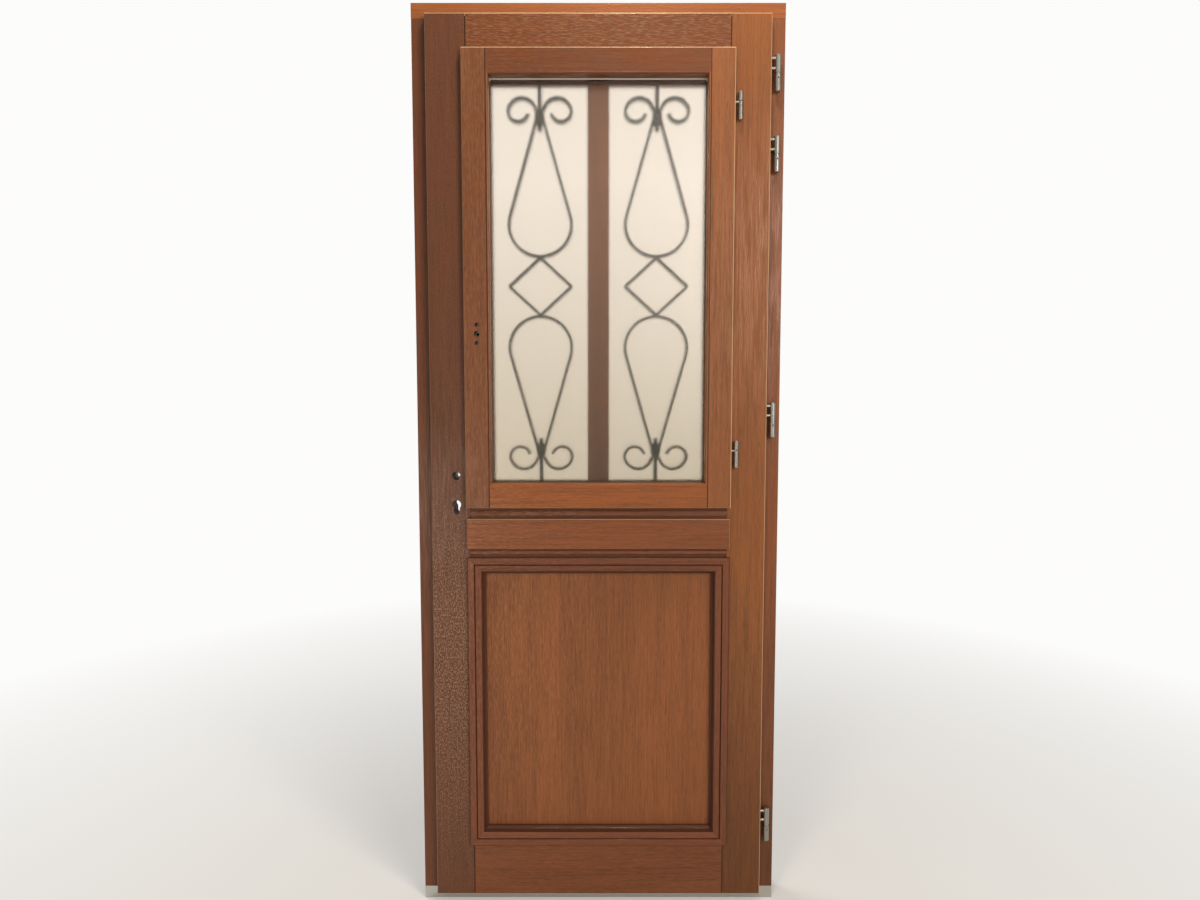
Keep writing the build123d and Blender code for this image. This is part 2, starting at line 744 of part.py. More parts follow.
with BuildPart() as weather_bar:
    high = weather_bar_low + weather_bar_height
    tip = leaf_back + weather_bar_reach
    with BuildSketch(Plane.YZ.offset(-weather_bar_half)):
        with BuildLine():
            Line((leaf_back, weather_bar_low), (leaf_back, high))
            Line((leaf_back, high), (leaf_back + 8, high - 4))
            ThreePointArc((leaf_back + 8, high - 4), (leaf_back + 18, high - 30), (tip, weather_bar_low + 20))
            Line((tip, weather_bar_low + 20), (tip, weather_bar_low + 5))
            Line((tip, weather_bar_low + 5), (tip - 6, weather_bar_low))
            Line((tip - 6, weather_bar_low), (leaf_back, weather_bar_low))
        make_face()
    extrude(amount=2 * weather_bar_half)
save(weather_bar, "weather_bar")

with BuildPart() as casement_seal:
    outer_x = casement_edge - 2
    box((-outer_x, casement_back + seal_gap, casement_bottom + 2),
        (outer_x, stop_frame_front, casement_top - 2))
    box((-outer_x + casement_seal_width, casement_back, casement_bottom + 2 + casement_seal_width),
        (outer_x - casement_seal_width, stop_frame_front + 1, casement_top - 2 - casement_seal_width),
        Mode.SUBTRACT)
save(casement_seal, "casement_seal")


def lower_half(x, y, low, radius, height, ring_height, prong_radius, prong_tip, prong_heights, pin_radius):
    """Fixed half of a hinge: knuckle with its ring, and prongs that run back into the timber."""
    with BuildPart() as half:
        rod_along("z", (x, y, low + height / 2), radius, height)
        chamfer(half.edges().group_by(Axis.Z)[0], length=1.2)
        rod_along("z", (x, y, low + height + ring_height / 2), radius - 0.8, ring_height)
        for offset in prong_heights:
            rod_along("y", (x, (y + prong_tip) / 2, low + offset), prong_radius, prong_tip - y)
        foot = low + height / 2
        top = low + height + ring_height + 1
        rod_along("z", (x, y, (foot + top) / 2), pin_radius, top - foot, Mode.SUBTRACT)
    return half


def upper_half(x, y, low, radius, height, prong_radius, prong_tip, prong_heights, pin_radius):
    """Moving half of a hinge: blind knuckle over the pin, and prongs into the leaf's edge."""
    with BuildPart() as half:
        rod_along("z", (x, y, low + height / 2), radius, height)
        chamfer(half.edges().group_by(Axis.Z)[-1], length=1.6)
        for offset in prong_heights:
            rod_along("x", ((x + prong_tip) / 2, y, low + height - offset), prong_radius, x - prong_tip)
        bore = height - 6
        rod_along("z", (x, y, low + bore / 2), pin_radius + pin_clearance, bore, Mode.SUBTRACT)
    return half


def hinge_pins(x, y, lows, lower, height, pin_radius):
    """Plain pins that stand in the lower halves and reach up into the upper ones."""
    with BuildPart() as pins:
        for low in lows:
            foot = low + lower / 2
            top = low + height - 7
            rod_along("z", (x, y, (foot + top) / 2), pin_radius, top - foot)
    return pins


for index, low in enumerate(leaf_hinge_lows, start=1):
    save(lower_half(leaf_hinge_x, leaf_hinge_y, low, leaf_knuckle_radius, leaf_lower_length, leaf_ring_height,
                    leaf_prong_radius, leaf_hinge_y + leaf_lower_reach, leaf_prong_heights,
                    leaf_pin_radius), f"leaf_hinge_lower_{index}")
    save(upper_half(leaf_hinge_x, leaf_hinge_y, low + leaf_upper_start, leaf_knuckle_radius,
                    leaf_hinge_length - leaf_upper_start, leaf_prong_radius, leaf_hinge_x - leaf_prong_reach,
                    leaf_prong_heights, leaf_pin_radius), f"leaf_hinge_upper_{index}")
save(hinge_pins(leaf_hinge_x, leaf_hinge_y, leaf_hinge_lows, leaf_lower_length, leaf_hinge_length,
                leaf_pin_radius), "leaf_hinge_pins")

lower_halves = [
    lower_half(casement_hinge_x, casement_hinge_y, low, casement_knuckle_radius, casement_lower_length,
               casement_ring_height, casement_prong_radius, casement_hinge_y + casement_prong_reach,
               casement_prong_heights, casement_pin_radius).part
    for low in casement_hinge_lows
]
with BuildPart() as casement_hinge_lowers:
    add(lower_halves)
save(casement_hinge_lowers, "casement_hinge_lowers")
upper_halves = [
    upper_half(casement_hinge_x, casement_hinge_y, low + casement_upper_start, casement_knuckle_radius,
               casement_hinge_length - casement_upper_start, casement_prong_radius,
               casement_hinge_x - casement_prong_reach, casement_prong_heights, casement_pin_radius).part
    for low in casement_hinge_lows
]
with BuildPart() as casement_hinge_uppers:
    add(upper_halves)
save(casement_hinge_uppers, "casement_hinge_uppers")
save(hinge_pins(casement_hinge_x, casement_hinge_y, casement_hinge_lows, casement_lower_length,
                casement_hinge_length, casement_pin_radius), "casement_hinge_pins")

# Lock

with BuildPart() as lock_case:
    case_low = (faceplate_back, lock_y - lock_case_thickness / 2, lock_case_ends[0])
    case_high = (faceplate_back + lock_case_depth, lock_y + lock_case_thickness / 2, lock_case_ends[1])
    box(case_low, case_high)
    box((case_low[0] - 1, lock_y - lock_inner_half, case_low[2] + lock_wall),
        (case_high[0] - lock_wall, lock_y + lock_inner_half, case_high[2] - lock_wall), Mode.SUBTRACT)
    box((case_low[0] - 1, lock_y - rod_width / 2 - 1, case_low[2] - 1),
        (case_low[0] + rod_channel_depth, lock_y + rod_width / 2 + 1, case_high[2] + 1), Mode.SUBTRACT)
    rod_along("y", (spindle_x, lock_y, spindle_z), hub_boss_radius + boss_clearance,
              lock_case_thickness + 2, Mode.SUBTRACT)
    profile_hole(lock_case_cylinder_radius, lock_case_slot_width, lock_case_thickness + 2, lock_y)
save(lock_case, "lock_case")

with BuildPart() as lock_faceplate:
    box((-leaf_edge, lock_y - faceplate_width / 2, faceplate_ends[0]),
        (faceplate_back, lock_y + faceplate_width / 2, faceplate_ends[1]))
    windows = [(latch_z, latch_height), (dead_bolt_z, dead_bolt_height)] + [(z, aux_bolt_height) for z in aux_z]
    for centre, height in windows:
        half = height / 2 + window_gap
        box((-leaf_edge - 1, lock_y - bolt_half_y - window_gap, centre - half),
            (faceplate_back + 1, lock_y + bolt_half_y + window_gap, centre + half), Mode.SUBTRACT)
save(lock_faceplate, "lock_faceplate")

with BuildPart() as aux_lock_cases:
    for centre in aux_z:
        low, high = centre - aux_case_height / 2, centre + aux_case_height / 2
        back = faceplate_back + aux_case_depth
        box((faceplate_back, lock_y - lock_case_thickness / 2, low), (back, lock_y + lock_case_thickness / 2, high))
        box((faceplate_back - 1, lock_y - lock_inner_half, low + lock_wall),
            (back - lock_wall, lock_y + lock_inner_half, high - lock_wall), Mode.SUBTRACT)
        box((faceplate_back - 1, lock_y - rod_width / 2 - 1, low - 1),
            (faceplate_back + rod_channel_depth, lock_y + rod_width / 2 + 1, high + 1), Mode.SUBTRACT)
save(aux_lock_cases, "aux_lock_cases")

with BuildPart() as spindle_follower:
    rod_along("y", (spindle_x, lock_y, spindle_z), hub_radius, 2 * bolt_half_y)
    rod_along("y", (spindle_x, lock_y, spindle_z), hub_boss_radius, lock_case_thickness)
    box((spindle_x - hub_arm_width / 2, lock_y - bolt_half_y, spindle_z),
        (spindle_x + hub_arm_width / 2, lock_y + bolt_half_y, spindle_z + hub_arm_reach))
    half = spindle_square / 2
    box((spindle_x - half, lock_y - lock_case_thickness, spindle_z - half),
        (spindle_x + half, lock_y + lock_case_thickness, spindle_z + half), Mode.SUBTRACT)
save(spindle_follower, "spindle_follower")

# The lock rests drawn back, with every bolt flush with the faceplate.
with BuildPart() as latch_bolt:
    head_end = -leaf_edge + latch_head
    with BuildSketch(Plane.XY.offset(latch_z - latch_height / 2)):
        with BuildLine():
            Polyline(
                (-leaf_edge, lock_y - bolt_half_y),
                (head_end, lock_y - bolt_half_y),
                (head_end, lock_y + bolt_half_y),
                (-leaf_edge + latch_bevel, lock_y + bolt_half_y),
                (-leaf_edge, lock_y - bolt_half_y + 2.5),
                close=True,
            )
        make_face()
    extrude(amount=latch_height)
    tail_low = latch_z - latch_tail_height / 2
    tail_end = head_end + latch_tail
    box((head_end, lock_y - bolt_half_y, tail_low), (tail_end, lock_y + bolt_half_y, tail_low + latch_tail_height))
    box((tail_end - latch_lug_width, lock_y - bolt_half_y, tail_low - latch_lug_drop),
        (tail_end, lock_y + bolt_half_y, tail_low))
save(latch_bolt, "latch_bolt")

with BuildPart() as dead_bolt:
    box((-leaf_edge, lock_y - bolt_half_y, dead_bolt_z - dead_bolt_height / 2),
        (-leaf_edge + dead_bolt_length, lock_y + bolt_half_y, dead_bolt_z + dead_bolt_height / 2))
    nose = dead_bolt.edges().filter_by(Axis.Z).group_by(Axis.X)[0]
    chamfer(nose, length=1.5)
save(dead_bolt, "dead_bolt")

with BuildPart() as lock_rods:
    for low, high in rod_spans:
        box((faceplate_back + mortise_gap, lock_y - rod_width / 2, low),
            (faceplate_back + mortise_gap + rod_thickness, lock_y + rod_width / 2, high))
save(lock_rods, "lock_rods")

for name, centre in zip(("lower_bolt", "upper_bolt"), aux_z):
    with BuildPart() as aux_bolt:
        box((-leaf_edge, lock_y - bolt_half_y, centre - aux_bolt_height / 2),
            (-leaf_edge + aux_bolt_length, lock_y + bolt_half_y, centre + aux_bolt_height / 2))
        chamfer(aux_bolt.edges().filter_by(Axis.Z).group_by(Axis.X)[0], length=1.5)
    save(aux_bolt, name)

# Casement


def casement_member(side):
    """Upright of the casement: lipped edge, moulded sight edge and a rebate for the glass."""
    with BuildPart() as stile:
        with BuildSketch(Plane.XY.offset(casement_lip_bottom)):
            with BuildLine():
                Polyline(
                    (side * sight_x, casement_front),
                    (side * casement_lip_edge, casement_front),
                    (side * casement_lip_edge, casement_lip_back),
                    (side * casement_edge, casement_lip_back),
                    (side * casement_edge, casement_back),
                    (side * rebate_x, casement_back),
                    (side * rebate_x, glass_front),
                    (side * sight_x, glass_front),
                    close=True,
                )
            make_face()
        extrude(amount=casement_lip_top - casement_lip_bottom)
        upright = stile.edges().filter_by(Axis.Z).filter_by_position(
            Axis.Y, casement_front - 0.1, casement_front + 0.1).sort_by(Axis.X)
        inner, outer = (upright[0], upright[-1]) if side > 0 else (upright[-1], upright[0])
        fillet(inner, radius=sight_moulding)
        rim = stile.edges().filter_by_position(Axis.Y, casement_front - 0.1, casement_front + 0.1)
        ends = rim.filter_by(Axis.X)
        outer = rim.filter_by(Axis.Z).sort_by(Axis.X)[-1 if side > 0 else 0]
        fillet([outer, *ends], radius=casement_arris)
        for low, high in ((casement_lip_bottom - 1, casement_bottom), (casement_top, casement_lip_top + 1)):
            box((-leaf_edge, casement_lip_back, low), (leaf_edge, casement_back + 1, high), Mode.SUBTRACT)
        if side > 0:
            for low in casement_hinge_lows:
                tip = casement_hinge_x - casement_prong_reach - 1
                for height in casement_prong_heights:
                    rod_along("x", ((tip + casement_hinge_x) / 2, casement_hinge_y,
                                    low + casement_hinge_length - height),
                              casement_prong_radius + prong_clearance, casement_hinge_x - tip, Mode.SUBTRACT)
        else:
            gear_cuts()
    return stile


def gear_cuts():
    """Mortise, rod channel, faceplate groove and handle holes of the casement's lock stile."""
    plate_low = casement_lip_bottom + casement_lip + casement_plate_end
    plate_high = casement_lip_top - casement_lip - casement_plate_end
    half_plate = casement_plate_width / 2
    box((-casement_edge - 1, gear_y - half_plate, plate_low),
        (casement_plate_back, gear_y + half_plate, plate_high), Mode.SUBTRACT)
    half_rod = casement_rod_width / 2 + mortise_gap
    box((casement_plate_back, gear_y - half_rod, plate_low + 5),
        (gear_front, gear_y + half_rod, plate_high - 4), Mode.SUBTRACT)
    half_case = gear_case_thickness / 2 + mortise_gap
    half_height = gear_case_height / 2 + mortise_gap
    box((casement_plate_back, gear_y - half_case, gear_z - half_height),
        (gear_front + gear_case_depth + mortise_gap, gear_y + half_case, gear_z + half_height), Mode.SUBTRACT)
    reach = gear_y - casement_front + 1
    middle_y = casement_front - 1 + reach / 2
    rod_along("y", (gear_x, middle_y, gear_z), handle_hole_radius, reach, Mode.SUBTRACT)
    for offset in (-handle_screw_spacing / 2, handle_screw_spacing / 2):
        rod_along("y", (gear_x, middle_y, gear_z + offset), handle_screw_radius, reach, Mode.SUBTRACT)


casement_hinge_stile = casement_member(1)
save(casement_hinge_stile, "casement_hinge_stile")
casement_lock_stile = casement_member(-1)
save(casement_lock_stile, "casement_lock_stile")

for name, facing in (("casement_top_rail", 1), ("casement_bottom_rail", -1)):
    sight, body, lip, rebate = (
        (sight_top, casement_top, casement_lip_top, rebate_top) if facing > 0
        else (sight_bottom, casement_bottom, casement_lip_bottom, rebate_bottom)
    )
    with BuildPart() as rail:
        with BuildSketch(Plane.YZ.offset(-rebate_x)) as section:
            with BuildLine():
                Polyline(
                    (casement_front, sight),
                    (casement_front, lip),
                    (casement_lip_back, lip),
                    (casement_lip_back, body),
                    (casement_back, body),
                    (casement_back, rebate),
                    (glass_front, rebate),
                    (glass_front, sight),
                    close=True,
                )
            make_face()
            for height, radius in ((sight, sight_moulding), (lip, casement_arris)):
                fillet(section.vertices().sort_by_distance((casement_front, height, 0))[0], radius=radius)
        extrude(amount=2 * rebate_x)
        add([casement_hinge_stile.part, casement_lock_stile.part], mode=Mode.SUBTRACT)
    save(rail, name)

glass_x = rebate_x - pane_edge_gap
glass_low, glass_high = rebate_bottom + pane_edge_gap, rebate_top - pane_edge_gap


def glazing_layer(front, thickness, inset, width):
    """Sheet or ring of the glazing, set in from the panes' edges; width 0 leaves it whole."""
    with BuildPart() as layer:
        x, low, high = glass_x - inset, glass_low + inset, glass_high - inset
        box((-x, front, low), (x, front + thickness, high))
        if width:
            box((-x + width, front - 1, low + width), (x - width, front + thickness + 1, high - width),
                Mode.SUBTRACT)
    return layer


save(glazing_layer(glass_front, seal_thickness, 0, glass_x - sight_x + seal_show), "glass_seal")
save(glazing_layer(pane_front, pane_thickness, 0, 0), "glass_inner")
save(glazing_layer(spacer_front, spacer_thickness, spacer_inset, spacer_width), "glass_spacer")
save(glazing_layer(outer_pane_front, pane_thickness, 0, 0), "glass_outer")

with BuildPart() as setting_blocks:
    for side in (-1, 1):
        middle = side * (glass_x - block_inset)
        box((middle - block_length / 2, pane_front, rebate_bottom),
            (middle + block_length / 2, bead_front, glass_low))
save(setting_blocks, "setting_blocks")

bead_depth = casement_back - bead_front
glazing_bead = [
    ((0, 0), (0, bead_depth)),
    ((0, bead_depth), (glass_rebate - bead_chamfer, bead_depth)),
    ((glass_rebate - bead_chamfer, bead_depth), (glass_rebate, bead_depth - 4)),
    ((glass_rebate, bead_depth - 4), (glass_rebate, 0)),
    ((glass_rebate, 0), (0, 0)),
]
save(mitred_frame(glazing_bead, bead_front, 1, rebate_x, rebate_bottom, rebate_top), "glazing_beads")

# Espagnolette

plate_low = casement_bottom + casement_plate_end
plate_high = casement_top - casement_plate_end
with BuildPart() as casement_faceplate:
    box((-casement_edge, gear_y - casement_plate_width / 2, plate_low),
        (casement_plate_back, gear_y + casement_plate_width / 2, plate_high))
    for centre in cam_z:
        half = cam_radius + window_gap
        box((-casement_edge - 1, gear_y - half, centre - half),
            (casement_plate_back + 1, gear_y + half, centre + casement_rod_throw + half), Mode.SUBTRACT)
save(casement_faceplate, "casement_faceplate")

with BuildPart() as casement_gear_case:
    low, high = gear_z - gear_case_height / 2, gear_z + gear_case_height / 2
    back = gear_front + gear_case_depth
    inner = gear_case_thickness / 2 - gear_wall
    box((gear_front, gear_y - gear_case_thickness / 2, low), (back, gear_y + gear_case_thickness / 2, high))
    box((gear_front - 1, gear_y - inner, low + gear_wall), (back - gear_wall, gear_y + inner, high - gear_wall),
        Mode.SUBTRACT)
    rod_along("y", (gear_x, gear_y, gear_z), gear_boss_radius + boss_clearance, gear_case_thickness + 2,
              Mode.SUBTRACT)
save(casement_gear_case, "casement_gear_case")

with BuildPart() as casement_follower:
    rod_along("y", (gear_x, gear_y, gear_z), gear_hub_radius, 2 * (inner - bolt_side_gap))
    rod_along("y", (gear_x, gear_y, gear_z), gear_boss_radius, gear_case_thickness)
    half = gear_square / 2
    box((gear_x - half, gear_y - gear_case_thickness, gear_z - half),
        (gear_x + half, gear_y + gear_case_thickness, gear_z + half), Mode.SUBTRACT)
save(casement_follower, "casement_follower")

with BuildPart() as casement_rod:
    box((casement_rod_front, gear_y - casement_rod_width / 2, casement_bottom + casement_rod_end),
        (casement_rod_back, gear_y + casement_rod_width / 2, casement_top - casement_rod_end - casement_rod_throw))
    for centre in cam_z:
        tip = -casement_edge - cam_reach
        rod_along("x", ((tip + casement_rod_back) / 2, gear_y, centre), cam_radius, casement_rod_back - tip)
save(casement_rod, "casement_rod")

with BuildPart() as casement_keeps:
    for centre in cam_z:
        box((-stile_inner - keep_thickness, leaf_front, centre - keep_below),
            (-stile_inner, leaf_front + keep_depth, centre + keep_above))
        half = cam_radius + cam_play
        floor = -stile_inner - keep_thickness + 1
        box((floor, gear_y - half, centre - half),
            (-stile_inner + 1, gear_y + half, centre + casement_rod_throw + half), Mode.SUBTRACT)
        box((floor, leaf_front - 1, centre - half), (-stile_inner + 1, gear_y, centre + half), Mode.SUBTRACT)
save(casement_keeps, "casement_keeps")
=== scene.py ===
import logging
import math
from dataclasses import dataclass, field, replace
from enum import Enum
from typing import Optional, Sequence

import bmesh
import bpy
from mathutils import Matrix, Vector


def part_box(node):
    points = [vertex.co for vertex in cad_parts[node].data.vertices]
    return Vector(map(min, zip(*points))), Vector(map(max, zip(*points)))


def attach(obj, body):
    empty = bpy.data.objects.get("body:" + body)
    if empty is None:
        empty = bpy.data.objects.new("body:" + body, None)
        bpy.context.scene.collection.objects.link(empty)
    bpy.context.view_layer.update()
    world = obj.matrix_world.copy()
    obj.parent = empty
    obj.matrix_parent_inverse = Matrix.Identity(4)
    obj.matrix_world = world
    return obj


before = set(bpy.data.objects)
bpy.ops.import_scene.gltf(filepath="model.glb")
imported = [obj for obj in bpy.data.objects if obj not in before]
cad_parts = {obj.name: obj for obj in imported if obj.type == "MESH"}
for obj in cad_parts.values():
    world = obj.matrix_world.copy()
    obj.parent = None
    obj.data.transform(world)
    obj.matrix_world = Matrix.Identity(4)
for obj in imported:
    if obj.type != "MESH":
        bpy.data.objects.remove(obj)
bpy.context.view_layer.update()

log = logging.getLogger("front_door")

HALF_WIDTH = 0.44
FAR_ABOVE = 9.0
BACKGROUND = (0.975, 0.97, 0.96, 1.0)
NO_LIGHT = (0.0, 0.0, 0.0, 1.0)

Tone = tuple[int, int, int]
Triple = tuple[float, float, float]
Ramp = tuple[float, float, float, float]
Link = bpy.types.NodeSocket


def painted(red: int, green: int, blue: int) -> tuple[float, float, float, float]:
    """Linear colour of a screen colour.

    Args:
        red: red, from 0 to 255.
        green: green, from 0 to 255.
        blue: blue, from 0 to 255.

    Returns:
        The linear colour with an alpha of 1.
    """
    def linear(level: int) -> float:
        """Linear value of one screen channel."""
        share = level / 255
        return share / 12.92 if share <= 0.04045 else ((share + 0.055) / 1.055) ** 2.4
    return (linear(red), linear(green), linear(blue), 1.0)

def shaded(colour: Sequence[float], *factors: float) -> tuple[float, float, float, float]:
    """Multiply a linear colour and keep it within range.

    Args:
        colour: the colour to change.
        *factors: one factor for all three channels, or one for each.

    Returns:
        The new colour with an alpha of 1.
    """
    each = factors * 3 if len(factors) == 1 else factors
    return tuple(min(1.0, level * factor) for level, factor in zip(colour, each)) + (1.0,)


class Grain(Enum):
    """Which way a timber's fibres run."""

    UPRIGHT = "upright"
    LEVEL = "level"
    MITRED = "mitred"


class NodeBench:
    """Small helper that lays out a material's nodes and joins them."""

    def __init__(self, name: str) -> None:
        """Start an empty node material.

        Args:
            name: the material's name.
        """
        self.material = bpy.data.materials.new(name)
        self.material.use_nodes = True
        self.tree = self.material.node_tree
        self.tree.nodes.clear()
        self.output = self.tree.nodes.new("ShaderNodeOutputMaterial")
        self.shader = self.add("ShaderNodeBsdfPrincipled")
        self.join(self.shader.outputs["BSDF"], self.output.inputs["Surface"])

    def add(self, kind: str, **settings: object) -> bpy.types.Node:
        """Add one node.

        Args:
            kind: Blender's name of the node type.
            **settings: attributes to set on it.

        Returns:
            The new node.
        """
        node = self.tree.nodes.new(kind)
        for key, value in settings.items():
            setattr(node, key, value)
        return node

    def join(self, source: Link, target: Link) -> None:
        """Link an output to an input."""
        self.tree.links.new(source, target)

    def object_place(self) -> Link:
        """Object coordinates of the piece."""
        return self.add("ShaderNodeTexCoord").outputs["Object"]

    def axes(self, kind: str = "Object") -> bpy.types.bpy_prop_collection:
        """Split the piece's own coordinates into X, Y and Z.

        Args:
            kind: which of the texture coordinates is split.

        Returns:
            The three outputs, by name.
        """
        split = self.add("ShaderNodeSeparateXYZ")
        self.join(self.add("ShaderNodeTexCoord").outputs[kind], split.inputs[0])
        return split.outputs

    def scaled(self, vector: Link, scale: Sequence[float],
               shift: Sequence[float] = (0, 0, 0)) -> Link:
        """Stretch and move a vector.

        Args:
            vector: the vector to change.
            scale: the factor on each axis.
            shift: the offset on each axis, after scaling.

        Returns:
            The changed vector.
        """
        mapping = self.add("ShaderNodeMapping")
        mapping.inputs["Scale"].default_value = scale
        mapping.inputs["Location"].default_value = shift
        self.join(vector, mapping.inputs["Vector"])
        return mapping.outputs["Vector"]

    def noise(self, vector: Link, scale: float, detail: float, rough: float,
              twist: float = 0.0) -> Link:
        """Noise pattern on a vector.

        Args:
            vector: the coordinates to read.
            scale: the pattern's scale.
            detail: how many finer layers are added.
            rough: how strong the finer layers are.
            twist: how far the pattern is warped.

        Returns:
            The noise's value, from 0 to 1.
        """
        noise = self.add("ShaderNodeTexNoise")
        noise.inputs["Scale"].default_value = scale
        noise.inputs["Detail"].default_value = detail
        noise.inputs["Roughness"].default_value = rough
        noise.inputs["Distortion"].default_value = twist
        self.join(vector, noise.inputs["Vector"])
        return noise.outputs["Fac"]

    def ramp(self, value: Link, stops: Sequence[tuple[float, tuple[float, ...]]]) -> Link:
        """Colour ramp of a value.

        Args:
            value: the value to colour.
            stops: positions with their colours.

        Returns:
            The ramp's colour.
        """
        ramp = self.add("ShaderNodeValToRGB")
        line = ramp.color_ramp
        line.elements[0].position, line.elements[0].color = stops[0]
        line.elements[1].position, line.elements[1].color = stops[-1]
        for position, colour in stops[1:-1]:
            line.elements.new(position).color = colour
        self.join(value, ramp.inputs["Fac"])
        return ramp.outputs["Color"]

    def fade(self, value: Link, start: float, end: float, first: float = 0.0,
             last: float = 1.0) -> Link:
        """Grey ramp of a value.

        Args:
            value: the value to turn to grey.
            start: where the ramp starts.
            end: where it ends.
            first: the grey up to its start.
            last: the grey from its end on.

        Returns:
            The ramp's grey.
        """
        return self.ramp(value, ((start, (first,) * 3 + (1.0,)), (end, (last,) * 3 + (1.0,))))

    def math(self, operation: str, first: Link | float, second: Link | float = 0.0) -> Link:
        """Arithmetic on one or two values.

        Args:
            operation: Blender's name of the operation.
            first: the first value or link.
            second: the second value or link.

        Returns:
            The result.
        """
        node = self.add("ShaderNodeMath", operation=operation)
        for index, item in enumerate((first, second)):
            if isinstance(item, (int, float)):
                node.inputs[index].default_value = item
            else:
                self.join(item, node.inputs[index])
        return node.outputs["Value"]

    def fold(self, operation: str, *items: Link | float) -> Link:
        """Take several values through one operation, from left to right.

        Args:
            operation: Blender's name of the operation.
            *items: the values or links.

        Returns:
            The result.
        """
        result = items[0]
        for item in items[1:]:
            result = self.math(operation, result, item)
        return result

    def blend(self, share: Link | float, first: Link | Sequence[float],
              second: Link | Sequence[float]) -> Link:
        """Mix two colours.

        Args:
            share: how much of the second colour is used.
            first: the first colour or link.
            second: the second colour or link.

        Returns:
            The mixed colour.
        """
        node = self.add("ShaderNodeMix", data_type="RGBA")
        for index, item in ((0, share), (6, first), (7, second)):
            socket = node.inputs[index]
            if isinstance(item, (int, float, tuple, list)):
                socket.default_value = item
            else:
                self.join(item, socket)
        return node.outputs[2]

    def bump(self, height: Link, distance: float, strength: float = 1.0) -> None:
        """Raise the surface by a value.

        Args:
            height: the value that raises it.
            distance: the height of a full step, in metres.
            strength: the share of that height that shows.
        """
        bump = self.add("ShaderNodeBump")
        bump.inputs["Strength"].default_value = strength
        bump.inputs["Distance"].default_value = distance
        self.join(height, bump.inputs["Height"])
        self.join(bump.outputs["Normal"], self.shader.inputs["Normal"])


@dataclass(frozen=True)
class Weave:
    """One noise pattern that is stretched along a timber's fibres."""

    across: float
    along: float
    detail: float
    rough: float
    twist: float = 0.0
    shift: Triple = (0.0, 0.0, 0.0)

    def lay(self, bench: NodeBench, fibres: Link) -> Link:
        """Lay the pattern on coordinates whose Z runs with the fibres.

        Args:
            bench: the material's nodes.
            fibres: the coordinates.

        Returns:
            The pattern's value, from 0 to 1.
        """
        stretched = bench.scaled(fibres, (self.across, self.across, self.along), self.shift)
        return bench.noise(stretched, 1.0, self.detail, self.rough, self.twist)


@dataclass(frozen=True)
class Varnish:
    """What all stained and varnished timber has in common, with the tones of its painted glints,
    highlights and shade.
    """

    bands: Weave = Weave(17.0, 1.1, 2.0, 0.5, 0.5)
    streaks: Weave = Weave(250.0, 5.0, 3.0, 0.6)
    pores: Weave = Weave(620.0, 34.0, 2.0, 0.6)
    flecks: Weave = Weave(225.0, 13.0, 2.0, 0.55)
    # Pattern of the painted glints, also part of the bump.
    glints: Weave = Weave(380.0, 60.0, 1.0, 0.5, shift=(3.3, 1.1, 5.7))
    grain_stops: Triple = (0.37, 0.5, 0.63)
    pore_fade: tuple[float, float] = (0.56, 0.70)
    # Painted glints: pale highlights of the varnish, and where they show.
    glint_fade: tuple[float, float] = (0.50, 0.60)
    glint_foot: Ramp = (0.10, 0.50, 0.15, 1.0)
    glint_head: Ramp = (0.0, 0.35, 1.0, 0.1)
    glint_side: Triple = (0.12, 0.50, 1.0)
    # Painted shade towards the foot of a tall piece: where it runs.
    foot_span: tuple[float, float] = (0.15, 0.85)
    dark_grain: float = 0.74
    light_grain: float = 1.20
    grain_shares: Triple = (0.3, 0.35, 0.35)
    pore_tone: float = 0.42
    pore_share: float = 0.5
    # Colour of the painted glints, relative to the timber's tone.
    glint_tone: Triple = (2.8, 5.0, 8.5)
    seam_tone: float = 0.16
    seam_sharpness: float = 400.0
    seam_fade: Ramp = (0.30, 0.70, 1.0, 0.0)
    # Painted shade in the grooves of mouldings.
    groove_shade_tone: float = 0.25
    groove_shade_share: float = 0.8
    groove_core: float = 0.45
    # Painted shade in hollows.
    hollow_shade_tone: float = 0.34
    hollow_shade_share: float = 0.85
    # Painted highlight on rounded edges: its colour and where it shows.
    arris_highlight_tone: Tone = (255, 222, 176)
    highlight_round: Ramp = (0.93, 0.995, 1.0, 0.0)
    highlight_up: float = 1.2
    highlight_sideways: float = 0.65
    highlight_anywhere: float = 0.14
    relief: Triple = (0.5, 0.4, 0.15)
    relief_height: float = 0.0011
    relief_strength: float = 0.6
    roughness: float = 0.3
    rough_gain: float = 0.26
    rough_fade: tuple[float, float] = (0.42, 0.60)
    specular: float = 0.34
    coat: float = 0.08
    coat_roughness: float = 0.14


VARNISH = Varnish()


